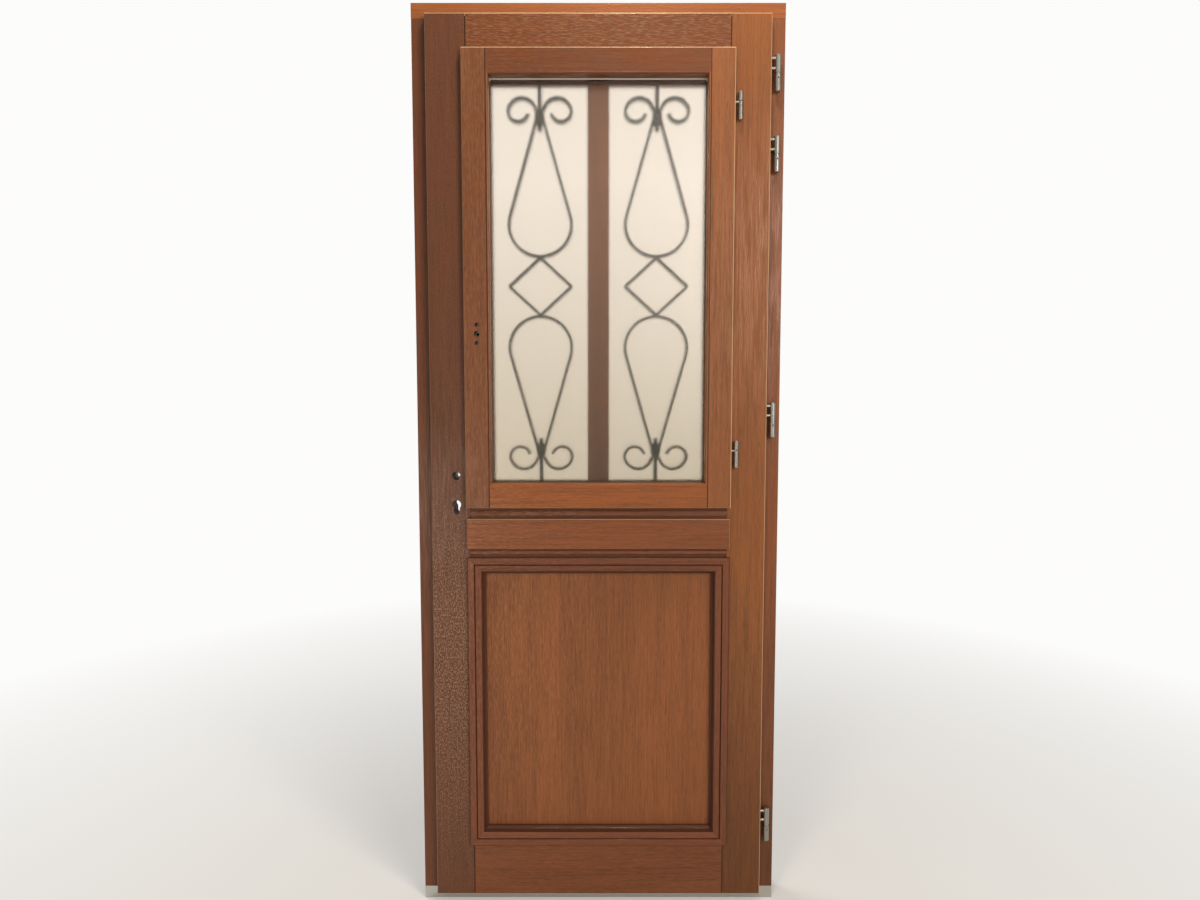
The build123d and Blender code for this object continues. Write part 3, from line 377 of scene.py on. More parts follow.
@dataclass(frozen=True)
class VarnishedTimber:
    """Stained hardwood under a satin varnish, with painted glints, highlights and shade where
    asked.
    """

    name: str
    tone: Tone
    grain: Grain = Grain.UPRIGHT
    offset: float = 0.0
    edges: Triple = (0.0, 0.0, 0.0)
    seam: float = 0.0
    # Depth range of painted shade in a hollow, and the height it stays below.
    hollow: Optional[tuple[float, float]] = None
    hollow_top: float = FAR_ABOVE
    # Where painted shade lines the grooves.
    grooves: tuple[tuple[float, float], ...] = ()
    # Share of painted highlight on rounded edges outside the rim.
    arris_highlight: float = 0.0
    rim: Triple = (0.0, 0.0, 0.0)
    # Share of painted glints, and where they fade out.
    glint_share: float = 0.0
    glint_top: float = FAR_ABOVE
    glint_far: float = 0.3
    fleck_rate: float = VARNISH.flecks.along
    glint_rate: float = VARNISH.glints.along
    # Brightness at the foot, below 1 for painted shade towards the foot.
    foot: float = 1.0
    ripple: float = 1.0

    def insets(self, bench: NodeBench, axes: bpy.types.bpy_prop_collection) -> tuple[Link, Link]:
        """Distances inward from the outer edges of the rectangle that a mitred piece frames.

        Args:
            bench: the material's nodes.
            axes: the piece's own X, Y and Z.

        Returns:
            The distance from the nearer side, and from the nearer of foot and head.
        """
        half_x, low, high = self.edges
        side = bench.math("SUBTRACT", half_x, bench.math("ABSOLUTE", axes["X"]))
        height = bench.math("ABSOLUTE", bench.math("SUBTRACT", axes["Z"], (low + high) / 2))
        return side, bench.math("SUBTRACT", (high - low) / 2, height)

    def along(self, bench: NodeBench) -> Link:
        """Coordinates whose Z runs with the fibres.

        Args:
            bench: the material's nodes.

        Returns:
            The turned coordinates.
        """
        place = bench.object_place()
        turned = place
        if self.grain is not Grain.UPRIGHT:
            axes = bench.axes()
            swap = bench.add("ShaderNodeCombineXYZ")
            for source, target in (("Z", "X"), ("Y", "Y"), ("X", "Z")):
                bench.join(axes[source], swap.inputs[target])
            turned = swap.outputs[0]
            if self.grain is Grain.MITRED:
                is_level = bench.math("GREATER_THAN", *self.insets(bench, axes))
                turned = bench.blend(is_level, place, turned)
        return bench.scaled(turned, (1, 1, 1), (self.offset, 0.3 * self.offset, 0.7 * self.offset))

    def painted_arris_highlight(self, bench: NodeBench) -> Link:
        """Share of painted highlight on rounded edges, most on those that face up and on those that
        face the hinge side.

        Args:
            bench: the material's nodes.

        Returns:
            The share, from 0 to 1.
        """
        facing = bench.axes("Normal")
        parts = [bench.math("ABSOLUTE", facing[axis]) for axis in "XYZ"]
        rounded = bench.fade(bench.fold("MAXIMUM", *parts), *VARNISH.highlight_round)
        rise = bench.math("MULTIPLY", bench.math("MAXIMUM", facing["Z"], 0.0), VARNISH.highlight_up)
        hinged = bench.math("MULTIPLY", bench.math("MAXIMUM", facing["X"], 0.0),
                            VARNISH.highlight_sideways)
        share = bench.fold("ADD", rise, hinged, VARNISH.highlight_anywhere)
        half_x, low, high = self.rim
        axes = bench.axes()
        beyond = bench.math("SUBTRACT", bench.math("ABSOLUTE", axes["X"]), half_x)
        below = bench.math("SUBTRACT", low, axes["Z"])
        above = bench.math("SUBTRACT", axes["Z"], high)
        outside = bench.math("GREATER_THAN", bench.fold("MAXIMUM", beyond, below, above), 0.0)
        share = bench.fold("MULTIPLY", rounded, share, outside, self.arris_highlight)
        return bench.math("MINIMUM", share, 1.0)

    def painted_glints_below(self, bench: NodeBench) -> Link:
        """Share of painted glints, fading above a height, at the foot and away from the lock side.

        Args:
            bench: the material's nodes.

        Returns:
            The glints' share, from 0 to 1.
        """
        axes = bench.axes()
        above = bench.math("SUBTRACT", axes["Z"], self.glint_top)
        beside = bench.math("ADD", axes["X"], HALF_WIDTH)
        return bench.fold("MULTIPLY", bench.fade(axes["Z"], *VARNISH.glint_foot),
                          bench.fade(above, *VARNISH.glint_head),
                          bench.fade(beside, *VARNISH.glint_side, self.glint_far))

    def painted_foot_shade(self, bench: NodeBench) -> Link:
        """Share of painted shade towards the foot of a tall piece, from 0 to 1."""
        return bench.fade(bench.axes()["Z"], *VARNISH.foot_span, 1.0 - self.foot, 0.0)

    def painted_hollow_shade(self, bench: NodeBench) -> Link:
        """Painted shade in a hollow, over a given depth range, below a height.

        Args:
            bench: the material's nodes.

        Returns:
            How dark the painted shade is, from 0 to 1.
        """
        edge, foot = self.hollow
        axes = bench.axes()
        sunk = bench.math("DIVIDE", bench.math("SUBTRACT", axes["Y"], edge), foot - edge)
        shade = bench.fade(sunk, 0.0, 1.0, 0.0, VARNISH.hollow_shade_share)
        return bench.math("MULTIPLY", shade, bench.math("LESS_THAN", axes["Z"], self.hollow_top))

    def painted_groove_shade(self, bench: NodeBench) -> Link:
        """Painted shade as dark lines in the narrow grooves of a mitred moulding.

        Args:
            bench: the material's nodes.

        Returns:
            How dark the lines are, from 0 to 1.
        """
        inward = bench.math("MINIMUM", *self.insets(bench, bench.axes()))
        shades = []
        for centre, reach in self.grooves:
            away = bench.math("ABSOLUTE", bench.math("SUBTRACT", inward, centre))
            shades.append(bench.fade(bench.math("DIVIDE", away, reach), VARNISH.groove_core, 1.0,
                                     VARNISH.groove_shade_share, 0.0))
        return bench.fold("MAXIMUM", *shades)

    def joint_line(self, bench: NodeBench) -> Link:
        """Thin dark line where this piece's end meets its neighbour.

        Args:
            bench: the material's nodes.

        Returns:
            How dark the line is, from 0 to 1.
        """
        side = bench.math("ABSOLUTE", bench.axes()["X"])
        away = bench.math("ABSOLUTE", bench.math("SUBTRACT", side, self.seam))
        sharpened = bench.math("MULTIPLY", away, VARNISH.seam_sharpness)
        return bench.fade(sharpened, *VARNISH.seam_fade)

    def stained(self, bench: NodeBench, colour: Link, base: Sequence[float]) -> Link:
        """Add the dark joint lines and the painted highlights and shade that this piece has.

        Args:
            bench: the material's nodes.
            colour: the bare timber's colour.
            base: the timber's plain tone.

        Returns:
            The colour with its joint lines, painted highlights and painted shade.
        """
        # Painted shade towards the foot, dark joint lines, painted highlights on rounded edges, and
        # painted shade in grooves and hollows.
        joints_and_painted_light = ((self.foot < 1.0, self.painted_foot_shade, NO_LIGHT),
                  (self.seam, self.joint_line, shaded(base, VARNISH.seam_tone)),
                  (self.arris_highlight, self.painted_arris_highlight, painted(*VARNISH.arris_highlight_tone)),
                  (self.grooves, self.painted_groove_shade, shaded(base, VARNISH.groove_shade_tone)),
                  (self.hollow, self.painted_hollow_shade, shaded(base, VARNISH.hollow_shade_tone)))
        for wanted, share, overlay in joints_and_painted_light:
            if wanted:
                colour = bench.blend(share(bench), colour, overlay)
        return colour

    def make(self) -> bpy.types.Material:
        """Build the material.

        Returns:
            The finished material.
        """
        bench = NodeBench(self.name)
        fibres = self.along(bench)
        base = painted(*self.tone)
        streaks = VARNISH.streaks.lay(bench, fibres)
        flecks = replace(VARNISH.flecks, along=self.fleck_rate).lay(bench, fibres)
        specks = replace(VARNISH.glints, along=self.glint_rate).lay(bench, fibres)
        pits = bench.fade(VARNISH.pores.lay(bench, fibres), *VARNISH.pore_fade)
        patterns = (VARNISH.bands.lay(bench, fibres), streaks, flecks)
        grain = bench.fold("ADD", *(bench.math("MULTIPLY", pattern, share)
                                    for pattern, share in zip(patterns, VARNISH.grain_shares)))
        tones = (shaded(base, VARNISH.dark_grain), base, shaded(base, VARNISH.light_grain))
        colour = bench.ramp(grain, tuple(zip(VARNISH.grain_stops, tones)))
        colour = bench.blend(bench.math("MULTIPLY", pits, VARNISH.pore_share), colour,
                             shaded(base, VARNISH.pore_tone))
        # Painted glints: pale highlights of the varnish, mixed into the colour.
        glints = bench.math("MULTIPLY", bench.fade(specks, *VARNISH.glint_fade),
                            bench.math("MULTIPLY", self.painted_glints_below(bench), self.glint_share))
        colour = bench.blend(glints, colour, shaded(base, *VARNISH.glint_tone))
        bench.join(self.stained(bench, colour, base), bench.shader.inputs["Base Color"])
        raised, lined, pitted = VARNISH.relief
        relief = bench.math("ADD", bench.math("MULTIPLY", bench.math("ADD", flecks, specks),
                                              raised * self.ripple),
                            bench.math("MULTIPLY", streaks, lined))
        bench.bump(bench.math("SUBTRACT", relief, bench.math("MULTIPLY", pits, pitted)),
                   VARNISH.relief_height, VARNISH.relief_strength)
        rough = bench.fade(flecks, *VARNISH.rough_fade, VARNISH.roughness + VARNISH.rough_gain,
                           VARNISH.roughness)
        bench.join(rough, bench.shader.inputs["Roughness"])
        for name, value in (("Specular IOR Level", VARNISH.specular), ("Coat Weight", VARNISH.coat),
                            ("Coat Roughness", VARNISH.coat_roughness)):
            bench.shader.inputs[name].default_value = value
        return bench.material


@dataclass(frozen=True)
class Metal:
    """Plain or brushed metal."""

    name: str
    tone: Tone
    roughness: float = 0.3
    metallic: float = 1.0
    grain: float = 0.0
    relief_height: float = 0.0001
    relief_strength: float = 0.35

    def make(self) -> bpy.types.Material:
        """Build the material.

        Returns:
            The finished material.
        """
        bench = NodeBench(self.name)
        bench.shader.inputs["Metallic"].default_value = self.metallic
        bench.shader.inputs["Base Color"].default_value = painted(*self.tone)
        bench.shader.inputs["Roughness"].default_value = self.roughness
        if self.grain:
            speckle = bench.noise(bench.object_place(), self.grain, 3.0, 0.6)
            bench.bump(speckle, self.relief_height, self.relief_strength)
        return bench.material


@dataclass(frozen=True)
class Pane:
    """Glass, clear or with a fine frosted face, which may be darkened towards its foot by painted
    shade.
    """

    name: str
    tone: Tone
    foot_shade_tone: Optional[Tone] = None
    span: tuple[float, float] = (0.0, 1.0)
    index: float = 1.45
    roughness: float = 0.0
    stipple: float = 0.0
    relief_height: float = 0.0011
    relief_strength: float = 0.65

    def make(self) -> bpy.types.Material:
        """Build the material.

        Returns:
            The finished material.
        """
        bench = NodeBench(self.name)
        bench.shader.inputs["Base Color"].default_value = painted(*self.tone)
        bench.shader.inputs["Roughness"].default_value = self.roughness
        bench.shader.inputs["IOR"].default_value = self.index
        bench.shader.inputs["Transmission Weight"].default_value = 1.0
        # Painted shade: the pane's colour darkens towards its foot.
        if self.foot_shade_tone:
            low, high = self.span
            rise = bench.math("SUBTRACT", bench.axes()["Z"], low)
            painted_shade = bench.ramp(bench.math("DIVIDE", rise, high - low),
                              ((0.0, painted(*self.foot_shade_tone)), (0.75, painted(*self.tone))))
            bench.join(painted_shade, bench.shader.inputs["Base Color"])
        if self.stipple:
            stipple = bench.noise(bench.object_place(), self.stipple, 2.0, 0.6)
            bench.bump(stipple, self.relief_height, self.relief_strength)
        return bench.material


@dataclass(frozen=True)
class Dull:
    """Rubber or plastic with one even colour, or with a painted highlight on its front edge above a
    height.
    """

    name: str
    tone: Tone
    roughness: float = 0.7
    painted_highlight_tone: Optional[Tone] = None
    head_from: float = 0.0
    front: float = 0.0

    def make(self) -> bpy.types.Material:
        """Build the material.

        Returns:
            The finished material.
        """
        bench = NodeBench(self.name)
        bench.shader.inputs["Base Color"].default_value = painted(*self.tone)
        bench.shader.inputs["Roughness"].default_value = self.roughness
        # Painted highlight: a paler colour on the front edge above a height.
        if self.painted_highlight_tone:
            axes = bench.axes()
            share = bench.math("MULTIPLY", bench.math("GREATER_THAN", axes["Z"], self.head_from),
                               bench.math("LESS_THAN", axes["Y"], self.front))
            bench.join(bench.blend(share, painted(*self.tone), painted(*self.painted_highlight_tone)),
                       bench.shader.inputs["Base Color"])
        return bench.material


def dress(node: str, material: bpy.types.Material) -> None:
    """Give a CAD node its finish.

    Args:
        node: the node's name.
        material: the finish.
    """
    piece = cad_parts[node]
    if not piece.material_slots:
        piece.data.materials.append(material)
    for slot in piece.material_slots:
        slot.material = material


STEEL = Metal("satin_steel", (168, 166, 161), 0.38, 1.0, 900.0)
PLATE = Metal("brushed_plate", (132, 130, 126), 0.62, 1.0, 900.0)
# Painted shade for the sunk sockets of screw and pin heads.
SOCKET_SHADE = Metal("socket_shadow", (52, 50, 48), 0.5)
ALUMINIUM = Metal("mill_aluminium", (206, 206, 204), 0.34)
SPACER = Metal("bronze_spacer", (78, 66, 52), 0.5)
IRON = Metal("wrought_iron", (48, 68, 78), 0.55, 0.3, 240.0)
SEAL = Dull("dark_rubber", (40, 32, 28))
# Seal with a painted highlight along its top front edge.
PALE_SEAL = Dull("pale_seal", (98, 80, 62), 0.5, (240, 234, 222), 2.008)
BLACK = Dull("black_plastic", (30, 30, 30), 0.5)
# Frosted pane with painted shade towards its foot.
FROSTED = Pane("frosted_glass", (255, 241, 227), (208, 193, 171), (1.05, 2.02), roughness=0.21,
               stipple=400.0)
CLEAR = Pane("clear_glass", (250, 252, 250))
BRIGHT_PIN = Metal("bright_pin", (150, 138, 118), 0.4)


@dataclass
class DoorFrame:
    """Jambs, head, threshold and what is fixed to them."""

    tones: dict[str, Tone] = field(default_factory=lambda: {
        "frame_hinge_jamb": (133, 78, 46), "frame_lock_jamb": (107, 60, 35),
        "frame_head": (155, 90, 48)})
    grain_step: float = 2.6
    # Brightness at the foot of a piece, for painted shade towards the foot.
    feet: dict[str, float] = field(default_factory=lambda: {"frame_hinge_jamb": 0.66})

    def dress(self) -> None:
        """Give every piece of the frame its finish."""
        for step, (node, tone) in enumerate(self.tones.items()):
            grain = Grain.LEVEL if node == "frame_head" else Grain.UPRIGHT
            dress(node, VarnishedTimber(f"timber_{node}", tone, grain, self.grain_step * step,
                                        foot=self.feet.get(node, 1.0)).make())
        dress("threshold", ALUMINIUM.make())
        dress("frame_seal", SEAL.make())
        steel = STEEL.make()
        for node in ("main_strike_plate", "aux_strike_plates", "leaf_hinge_pins"):
            dress(node, steel)


@dataclass
class Leaf:
    """Stiles, rails, panel, mouldings, ironwork and weather bar of the door leaf."""

    uprights: dict[str, Tone] = field(default_factory=lambda: {
        "leaf_lock_stile": (103, 60, 37), "leaf_hinge_stile": (142, 84, 43), "panel": (136, 79, 43),
        "mullion": (156, 92, 50)})
    levels: dict[str, Tone] = field(default_factory=lambda: {
        "leaf_top_rail": (115, 63, 34), "leaf_lock_rail": (138, 78, 48),
        "leaf_bottom_rail": (125, 71, 40), "rail_board": (133, 75, 42),
        "rail_beads": (114, 66, 43), "weather_bar": (130, 74, 46)})
    upright_grain: tuple[float, float] = (1.7, 2.3)
    level_grain: tuple[float, float] = (4.9, 1.9)
    moulding_tone: Tone = (118, 66, 40)
    moulding_grain: float = 8.1
    # Share of painted glints on the mouldings.
    moulding_glint_share: float = 0.14
    moulding_edges: Triple = (0.319, 0.152, 0.879)
    # Depth ranges of painted shade on the mouldings' inner walls.
    moulding_hollows: dict[str, tuple[float, float]] = field(default_factory=lambda: {
        "panel_moulding_inner": (-0.0487, -0.0455), "panel_moulding_outer": (0.0287, 0.0255)})
    # Where painted shade lines the mouldings' grooves.
    moulding_grooves: tuple[tuple[float, float], ...] = (
        (0.0, 0.0022), (0.018, 0.0022), (0.0348, 0.002))
    # Painted shade on the lock rail's face between the board and the beads, below the casement.
    rail_shades: dict[str, tuple[float, float]] = field(default_factory=lambda: {
        "leaf_lock_rail": (-0.0455, -0.0470)})
    stop_tone: Tone = (122, 72, 46)
    stop_grain: float = 2.6
    light_edges: Triple = (0.310, 1.010, 2.065)
    joint_x: float = 0.310
    rim: Triple = (0.398, 0.026, 2.150)
    # Share of painted glints, pale highlights of the varnish, on each piece, and where they fade
    # out.
    flecks: dict[str, float] = field(default_factory=lambda: {
        "leaf_lock_stile": 0.66, "panel": 0.11, "leaf_top_rail": 0.2, "leaf_bottom_rail": 0.1,
        "rail_board": 0.11, "rail_beads": 0.25})
    plain_glint_share: float = 0.1
    stile_glint_top: float = 0.75
    far_glint_shares: dict[str, float] = field(default_factory=lambda: {"leaf_top_rail": 1.0})
    plain_far_glint_share: float = 0.2
    rail_fleck_rate: float = 44.0
    level_fleck_rate: float = 16.0
    plain_glint_rate: float = 50.0
    # Painted highlight on the rounded edges of stiles and rails.
    stile_arris_highlight: float = 0.7
    glint_rates: dict[str, float] = field(default_factory=lambda: {"leaf_lock_stile": 190.0})
    level_arris_highlights: dict[str, float] = field(default_factory=lambda: {
        "leaf_top_rail": 1.0, "rail_board": 0.35})
    # Brightness at the foot of a piece, for painted shade towards the foot.
    feet: dict[str, float] = field(default_factory=lambda: {"leaf_hinge_stile": 0.53})

    def dress(self) -> None:
        """Give every piece of the leaf its finish."""
        self.dress_uprights()
        self.dress_levels()
        for node, hollow in self.moulding_hollows.items():
            dress(node, VarnishedTimber(f"timber_{node}", self.moulding_tone, Grain.MITRED,
                                        self.moulding_grain, self.moulding_edges, hollow=hollow,
                                        glint_share=self.moulding_glint_share,
                                        grooves=self.moulding_grooves).make())
        dress("outer_stop_frame", VarnishedTimber("timber_outer_stop_frame", self.stop_tone,
                                                  Grain.MITRED, self.stop_grain,
                                                  self.light_edges).make())
        iron = IRON.make()
        for node in ("grille_left", "grille_right"):
            dress(node, iron)
        dress("casement_seal", SEAL.make())

    def dress_uprights(self) -> None:
        """Finish the pieces whose fibres run up and down."""
        first, gap = self.upright_grain
        for step, (node, tone) in enumerate(self.uprights.items()):
            is_stile = "stile" in node
            dress(node, VarnishedTimber(f"timber_{node}", tone, offset=first + gap * step,
                                        seam=self.joint_x if is_stile else 0.0,
                                        arris_highlight=self.stile_arris_highlight if is_stile else 0.0, rim=self.rim,
                                        glint_share=self.flecks.get(node, self.plain_glint_share),
                                        glint_top=self.stile_glint_top if is_stile else FAR_ABOVE,
                                        glint_rate=self.glint_rates.get(
                                            node, self.plain_glint_rate),
                                        foot=self.feet.get(node, 1.0)).make())

    def dress_levels(self) -> None:
        """Finish the pieces whose fibres run from side to side."""
        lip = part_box("casement_bottom_rail")[0].z
        first, gap = self.level_grain
        for step, (node, tone) in enumerate(self.levels.items()):
            is_rail = node.startswith("leaf_")
            dress(node, VarnishedTimber(f"timber_{node}", tone, Grain.LEVEL, first + gap * step,
                                        seam=self.joint_x if is_rail else 0.0,
                                        arris_highlight=self.level_arris_highlights.get(node, 0.0),
                                        hollow=self.rail_shades.get(node), hollow_top=lip,
                                        rim=self.rim if is_rail else (0.0, 0.0, 0.0),
                                        glint_share=self.flecks.get(node, self.plain_glint_share),
                                        glint_far=self.far_glint_shares.get(
                                            node, self.plain_far_glint_share),
                                        fleck_rate=self.rail_fleck_rate if node.endswith("rail")
                                        else self.level_fleck_rate).make())


@dataclass
class Casement:
    """Inner casement with its double glazing."""

    uprights: dict[str, Tone] = field(default_factory=lambda: {
        "casement_lock_stile": (125, 74, 44), "casement_hinge_stile": (142, 85, 47)})
    levels: dict[str, Tone] = field(default_factory=lambda: {
        "casement_top_rail": (116, 64, 35), "casement_bottom_rail": (146, 82, 41)})
    bead_edges: Triple = (0.270, 1.047, 2.028)
    joint_x: float = 0.262
    rim: Triple = (0.311, 1.008, 2.066)
    # Painted highlight on the casement's rounded edges.
    arris_highlight: float = 0.8
    # Share of painted glints on the casement.
    glint_share: float = 0.08
    ripple: float = 0.3
    upright_grain: tuple[float, float] = (6.7, 2.3)
    level_grain: tuple[float, float] = (3.9, 1.9)
    bead_tone: Tone = (124, 70, 44)
    bead_grain: float = 9.4
    pale_depth: float = 0.0009

    def dress(self) -> None:
        """Give every piece of the casement its finish."""
        for members, grain, (first, gap) in ((self.uprights, Grain.UPRIGHT, self.upright_grain),
                                             (self.levels, Grain.LEVEL, self.level_grain)):
            for step, (node, tone) in enumerate(members.items()):
                dress(node, VarnishedTimber(f"timber_{node}", tone, grain, first + gap * step,
                                            seam=self.joint_x, arris_highlight=self.arris_highlight, rim=self.rim,
                                            glint_share=self.glint_share, ripple=self.ripple).make())
        dress("glazing_beads", VarnishedTimber("timber_glazing_beads", self.bead_tone,
                                               Grain.MITRED, self.bead_grain,
                                               self.bead_edges).make())
        dress("glass_inner", FROSTED.make())
        dress("glass_outer", CLEAR.make())
        dress("glass_spacer", SPACER.make())
        # The seal's painted highlight reaches this far back from its front.
        pale_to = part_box("glass_seal")[0].y + self.pale_depth
        dress("glass_seal", replace(PALE_SEAL, front=pale_to).make())
        dress("setting_blocks", BLACK.make())


@dataclass
class Ironmongery:
    """Hinges, lock and espagnolette."""

    steel_nodes: tuple[str, ...] = (
        "casement_hinge_lowers", "casement_hinge_uppers", "casement_hinge_pins", "casement_keeps",
        "lock_case", "lock_faceplate", "aux_lock_cases", "latch_bolt", "spindle_follower",
        "dead_bolt", "lock_rods", "upper_bolt", "lower_bolt", "casement_faceplate",
        "casement_gear_case", "casement_follower", "casement_rod")

    def dress(self) -> None:
        """Give every piece of metalwork its finish."""
        steel, plate = STEEL.make(), PLATE.make()
        for node in self.steel_nodes:
            dress(node, plate if "faceplate" in node else steel)
        for number in range(1, 5):
            for half in ("lower", "upper"):
                dress(f"leaf_hinge_{half}_{number}", steel)


def add_piece(name: str, shape: bmesh.types.BMesh, finishes: Sequence[bpy.types.Material],
              body: str) -> None:
    """Make an object of a shape and let it ride on a body.

    Args:
        name: the object's name.
        shape: its shape, which is freed.
        finishes: its materials, in slot order.
        body: the body it rides on.
    """
    mesh = bpy.data.meshes.new(name)
    shape.to_mesh(mesh)
    shape.free()
    for finish in finishes:
        mesh.materials.append(finish)
    piece = bpy.data.objects.new(name, mesh)
    bpy.context.scene.collection.objects.link(piece)
    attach(piece, body)
    log.info("added %s on %s", name, body)


@dataclass(frozen=True)
class Head:
    """Turned head of a screw or pin, with a sunk socket."""

    radius: float
    height: float = 0.0005
    socket: float = 0.42
    seat: float = 0.0006
    sides: int = 18

    def shape(self) -> bpy.types.Mesh:
        """Turn the head about Z, with its seat at 0.

        Returns:
            The head's mesh, whose socket has the second material.
        """
        turned = bmesh.new()
        sunk = self.socket * self.radius
        outline = ((0.0, -self.seat), (self.radius, -self.seat),
                   (self.radius, 0.3 * self.height), (0.84 * self.radius, self.height),
                   (sunk, self.height), (0.9 * sunk, 0.15 * self.height),
                   (0.0, 0.15 * self.height))
        points = [turned.verts.new((x, 0.0, z)) for x, z in outline]
        edges = [turned.edges.new(pair) for pair in zip(points, points[1:])]
        bmesh.ops.spin(turned, geom=points + edges, cent=(0, 0, 0), axis=(0, 0, 1),
                       angle=math.tau, steps=self.sides, use_merge=True)
        bmesh.ops.remove_doubles(turned, verts=turned.verts[:], dist=1e-6)
        bmesh.ops.recalc_face_normals(turned, faces=turned.faces[:])
        for face in turned.faces:
            middle = face.calc_center_median()
            face.material_index = int(middle.xy.length < sunk and middle.z > 0)
        mesh = bpy.data.meshes.new("head")
        turned.to_mesh(mesh)
        turned.free()
        return mesh

    def row(self, name: str, places: Sequence[Vector], facing: Vector,
            finishes: Sequence[bpy.types.Material], body: str, slot: str = "satin_steel") -> None:
        """Set one head at each place.

        Args:
            name: the row's name.
            places: where the heads are seated.
            facing: which way they face.
            finishes: their metal and the shade of their sockets.
            body: the body they ride on.
            slot: not used.
        """
        head = self.shape()
        turn = Vector((0, 0, 1)).rotation_difference(facing).to_matrix().to_4x4()
        rows = bmesh.new()
        for place in places:
            count = len(rows.verts)
            rows.from_mesh(head)
            rows.verts.ensure_lookup_table()
            bmesh.ops.transform(rows, matrix=Matrix.Translation(place) @ turn,
                                verts=rows.verts[count:])
        bpy.data.meshes.remove(head)
        add_piece(name, rows, finishes, body)


@dataclass
class Fixings:
    """Screws of the plates and hinges, pins of the beads and battens, and timber plugs."""

    plate_screw: Head = Head(0.0040)
    bead_pin: Head = Head(0.0011, 0.0003, 0.3)
    batten_pin: Head = Head(0.0014, 0.0003, 0.3)
    hinge_screw: Head = Head(0.0024, 0.0003, 0.72)
    bar_plug: Head = Head(0.0040, 0.0003, 0.2)
    faceplate_rises: tuple[float, ...] = (0.015, 0.160, 0.360, 0.720, 0.960, 1.160, 1.305)
    casement_rises: tuple[float, ...] = (0.015, 0.320, 0.570, 0.720, 1.000)
    strike_margin: float = 0.009
    aux_plate_length: float = 0.056
    hinge_screw_drop: float = 0.012
    casement_screw_inset: float = 0.0055
    casement_screw_low: float = 0.010
    casement_screw_high: float = 0.022
    pin_step: float = 0.12
    pin_margin_x: float = 0.06
    pin_margin_z: float = 0.05
    bead_inset: float = 0.0035
    batten_inset: float = 0.024
    plug_tone: Tone = (146, 88, 54)
    plug_grain: float = 4.4
    plug_places: tuple[float, ...] = (-0.30, -0.10, 0.10, 0.30)
    plug_depth: float = 0.004
    plug_drop: float = 0.002
    plug_facing: Triple = (0, 4, 8)

    def build(self) -> None:
        """Set every fixing on its plate, bead or hinge."""
        steel = (STEEL.make(), SOCKET_SHADE.make())
        self.plates(steel)
        self.hinges(steel)
        self.pins()
        self.plugs()

    def plates(self, finishes: Sequence[bpy.types.Material]) -> None:
        """Screw down the faceplates and strike plates.

        Args:
            finishes: the metal and the socket's shade.
        """
        plates = (("faceplate_screws", "lock_faceplate", self.faceplate_rises, "leaf"),
                  ("casement_plate_screws", "casement_faceplate", self.casement_rises, "casement"))
        for name, node, rises, body in plates:
            low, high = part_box(node)
            places = [Vector((low.x, (low.y + high.y) / 2, low.z + rise)) for rise in rises]
            self.plate_screw.row(name, places, Vector((-1, 0, 0)), finishes, body)
        margin, length = self.strike_margin, self.aux_plate_length
        low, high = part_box("main_strike_plate")
        places = [Vector((high.x, (low.y + high.y) / 2, z))
                  for z in (low.z + margin, (low.z + high.z) / 2, high.z - margin)]
        low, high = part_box("aux_strike_plates")
        for foot in (low.z, high.z - length):
            places += [Vector((high.x, (low.y + high.y) / 2, z))
                       for z in (foot + margin, foot + length - margin)]
        self.plate_screw.row("strike_plate_screws", places, Vector((1, 0, 0)), finishes, "frame")

    def hinges(self, finishes: Sequence[bpy.types.Material]) -> None:
        """Put a small locking screw in one half of each hinge.

        Args:
            finishes: the metal and the socket's shade.
        """
        places = []
        for number in range(1, 5):
            low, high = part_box(f"leaf_hinge_lower_{number}")
            places.append(Vector(((low.x + high.x) / 2, low.y, high.z - self.hinge_screw_drop)))
        self.hinge_screw.row("leaf_hinge_screws", places, Vector((0, -1, 0)), finishes, "frame")
        low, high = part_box("casement_hinge_uppers")
        places = [Vector((high.x - self.casement_screw_inset, low.y, z))
                  for z in (low.z + self.casement_screw_low, high.z - self.casement_screw_high)]
        self.hinge_screw.row("casement_hinge_screws", places, Vector((0, -1, 0)), finishes,
                             "casement")

    def pins(self) -> None:
        """Pin the glazing beads and the outer stop frame from outside."""
        finish = (BRIGHT_PIN.make(), SOCKET_SHADE.make())
        rows = (("glazing_bead_pins", "glazing_beads", self.bead_inset, self.bead_pin, "casement"),
                ("stop_frame_pins", "outer_stop_frame", self.batten_inset, self.batten_pin, "leaf"))
        for name, node, inset, pin, body in rows:
            low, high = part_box(node)
            places = []
            for z in self.spread(low.z, high.z, self.pin_margin_z):
                places += [Vector((x, high.y, z)) for x in (low.x + inset, high.x - inset)]
            for x in self.spread(low.x, high.x, self.pin_margin_x):
                places += [Vector((x, high.y, z)) for z in (low.z + inset, high.z - inset)]
            pin.row(name, places, Vector((0, 1, 0)), finish, body)

    def spread(self, low: float, high: float, margin: float) -> list[float]:
        """Even places along a batten, about one pin step apart.

        Args:
            low: the batten's one end.
            high: its other end.
            margin: how far the outer pins stay from the ends.

        Returns:
            The places.
        """
        reach = high - low - 2 * margin
        count = int(reach / self.pin_step)
        return [low + margin + reach * step / count for step in range(count + 1)]

    def plugs(self) -> None:
        """Plug the weather bar's screw holes with timber."""
        low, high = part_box("weather_bar")
        plug = VarnishedTimber("timber_bar_plugs", self.plug_tone, offset=self.plug_grain).make()
        places = [Vector((x, low.y + self.plug_depth, high.z - self.plug_drop))
                  for x in self.plug_places]
        self.bar_plug.row("weather_bar_plugs", places, Vector(self.plug_facing).normalized(),
                          (plug, plug), "leaf", "stained_timber")


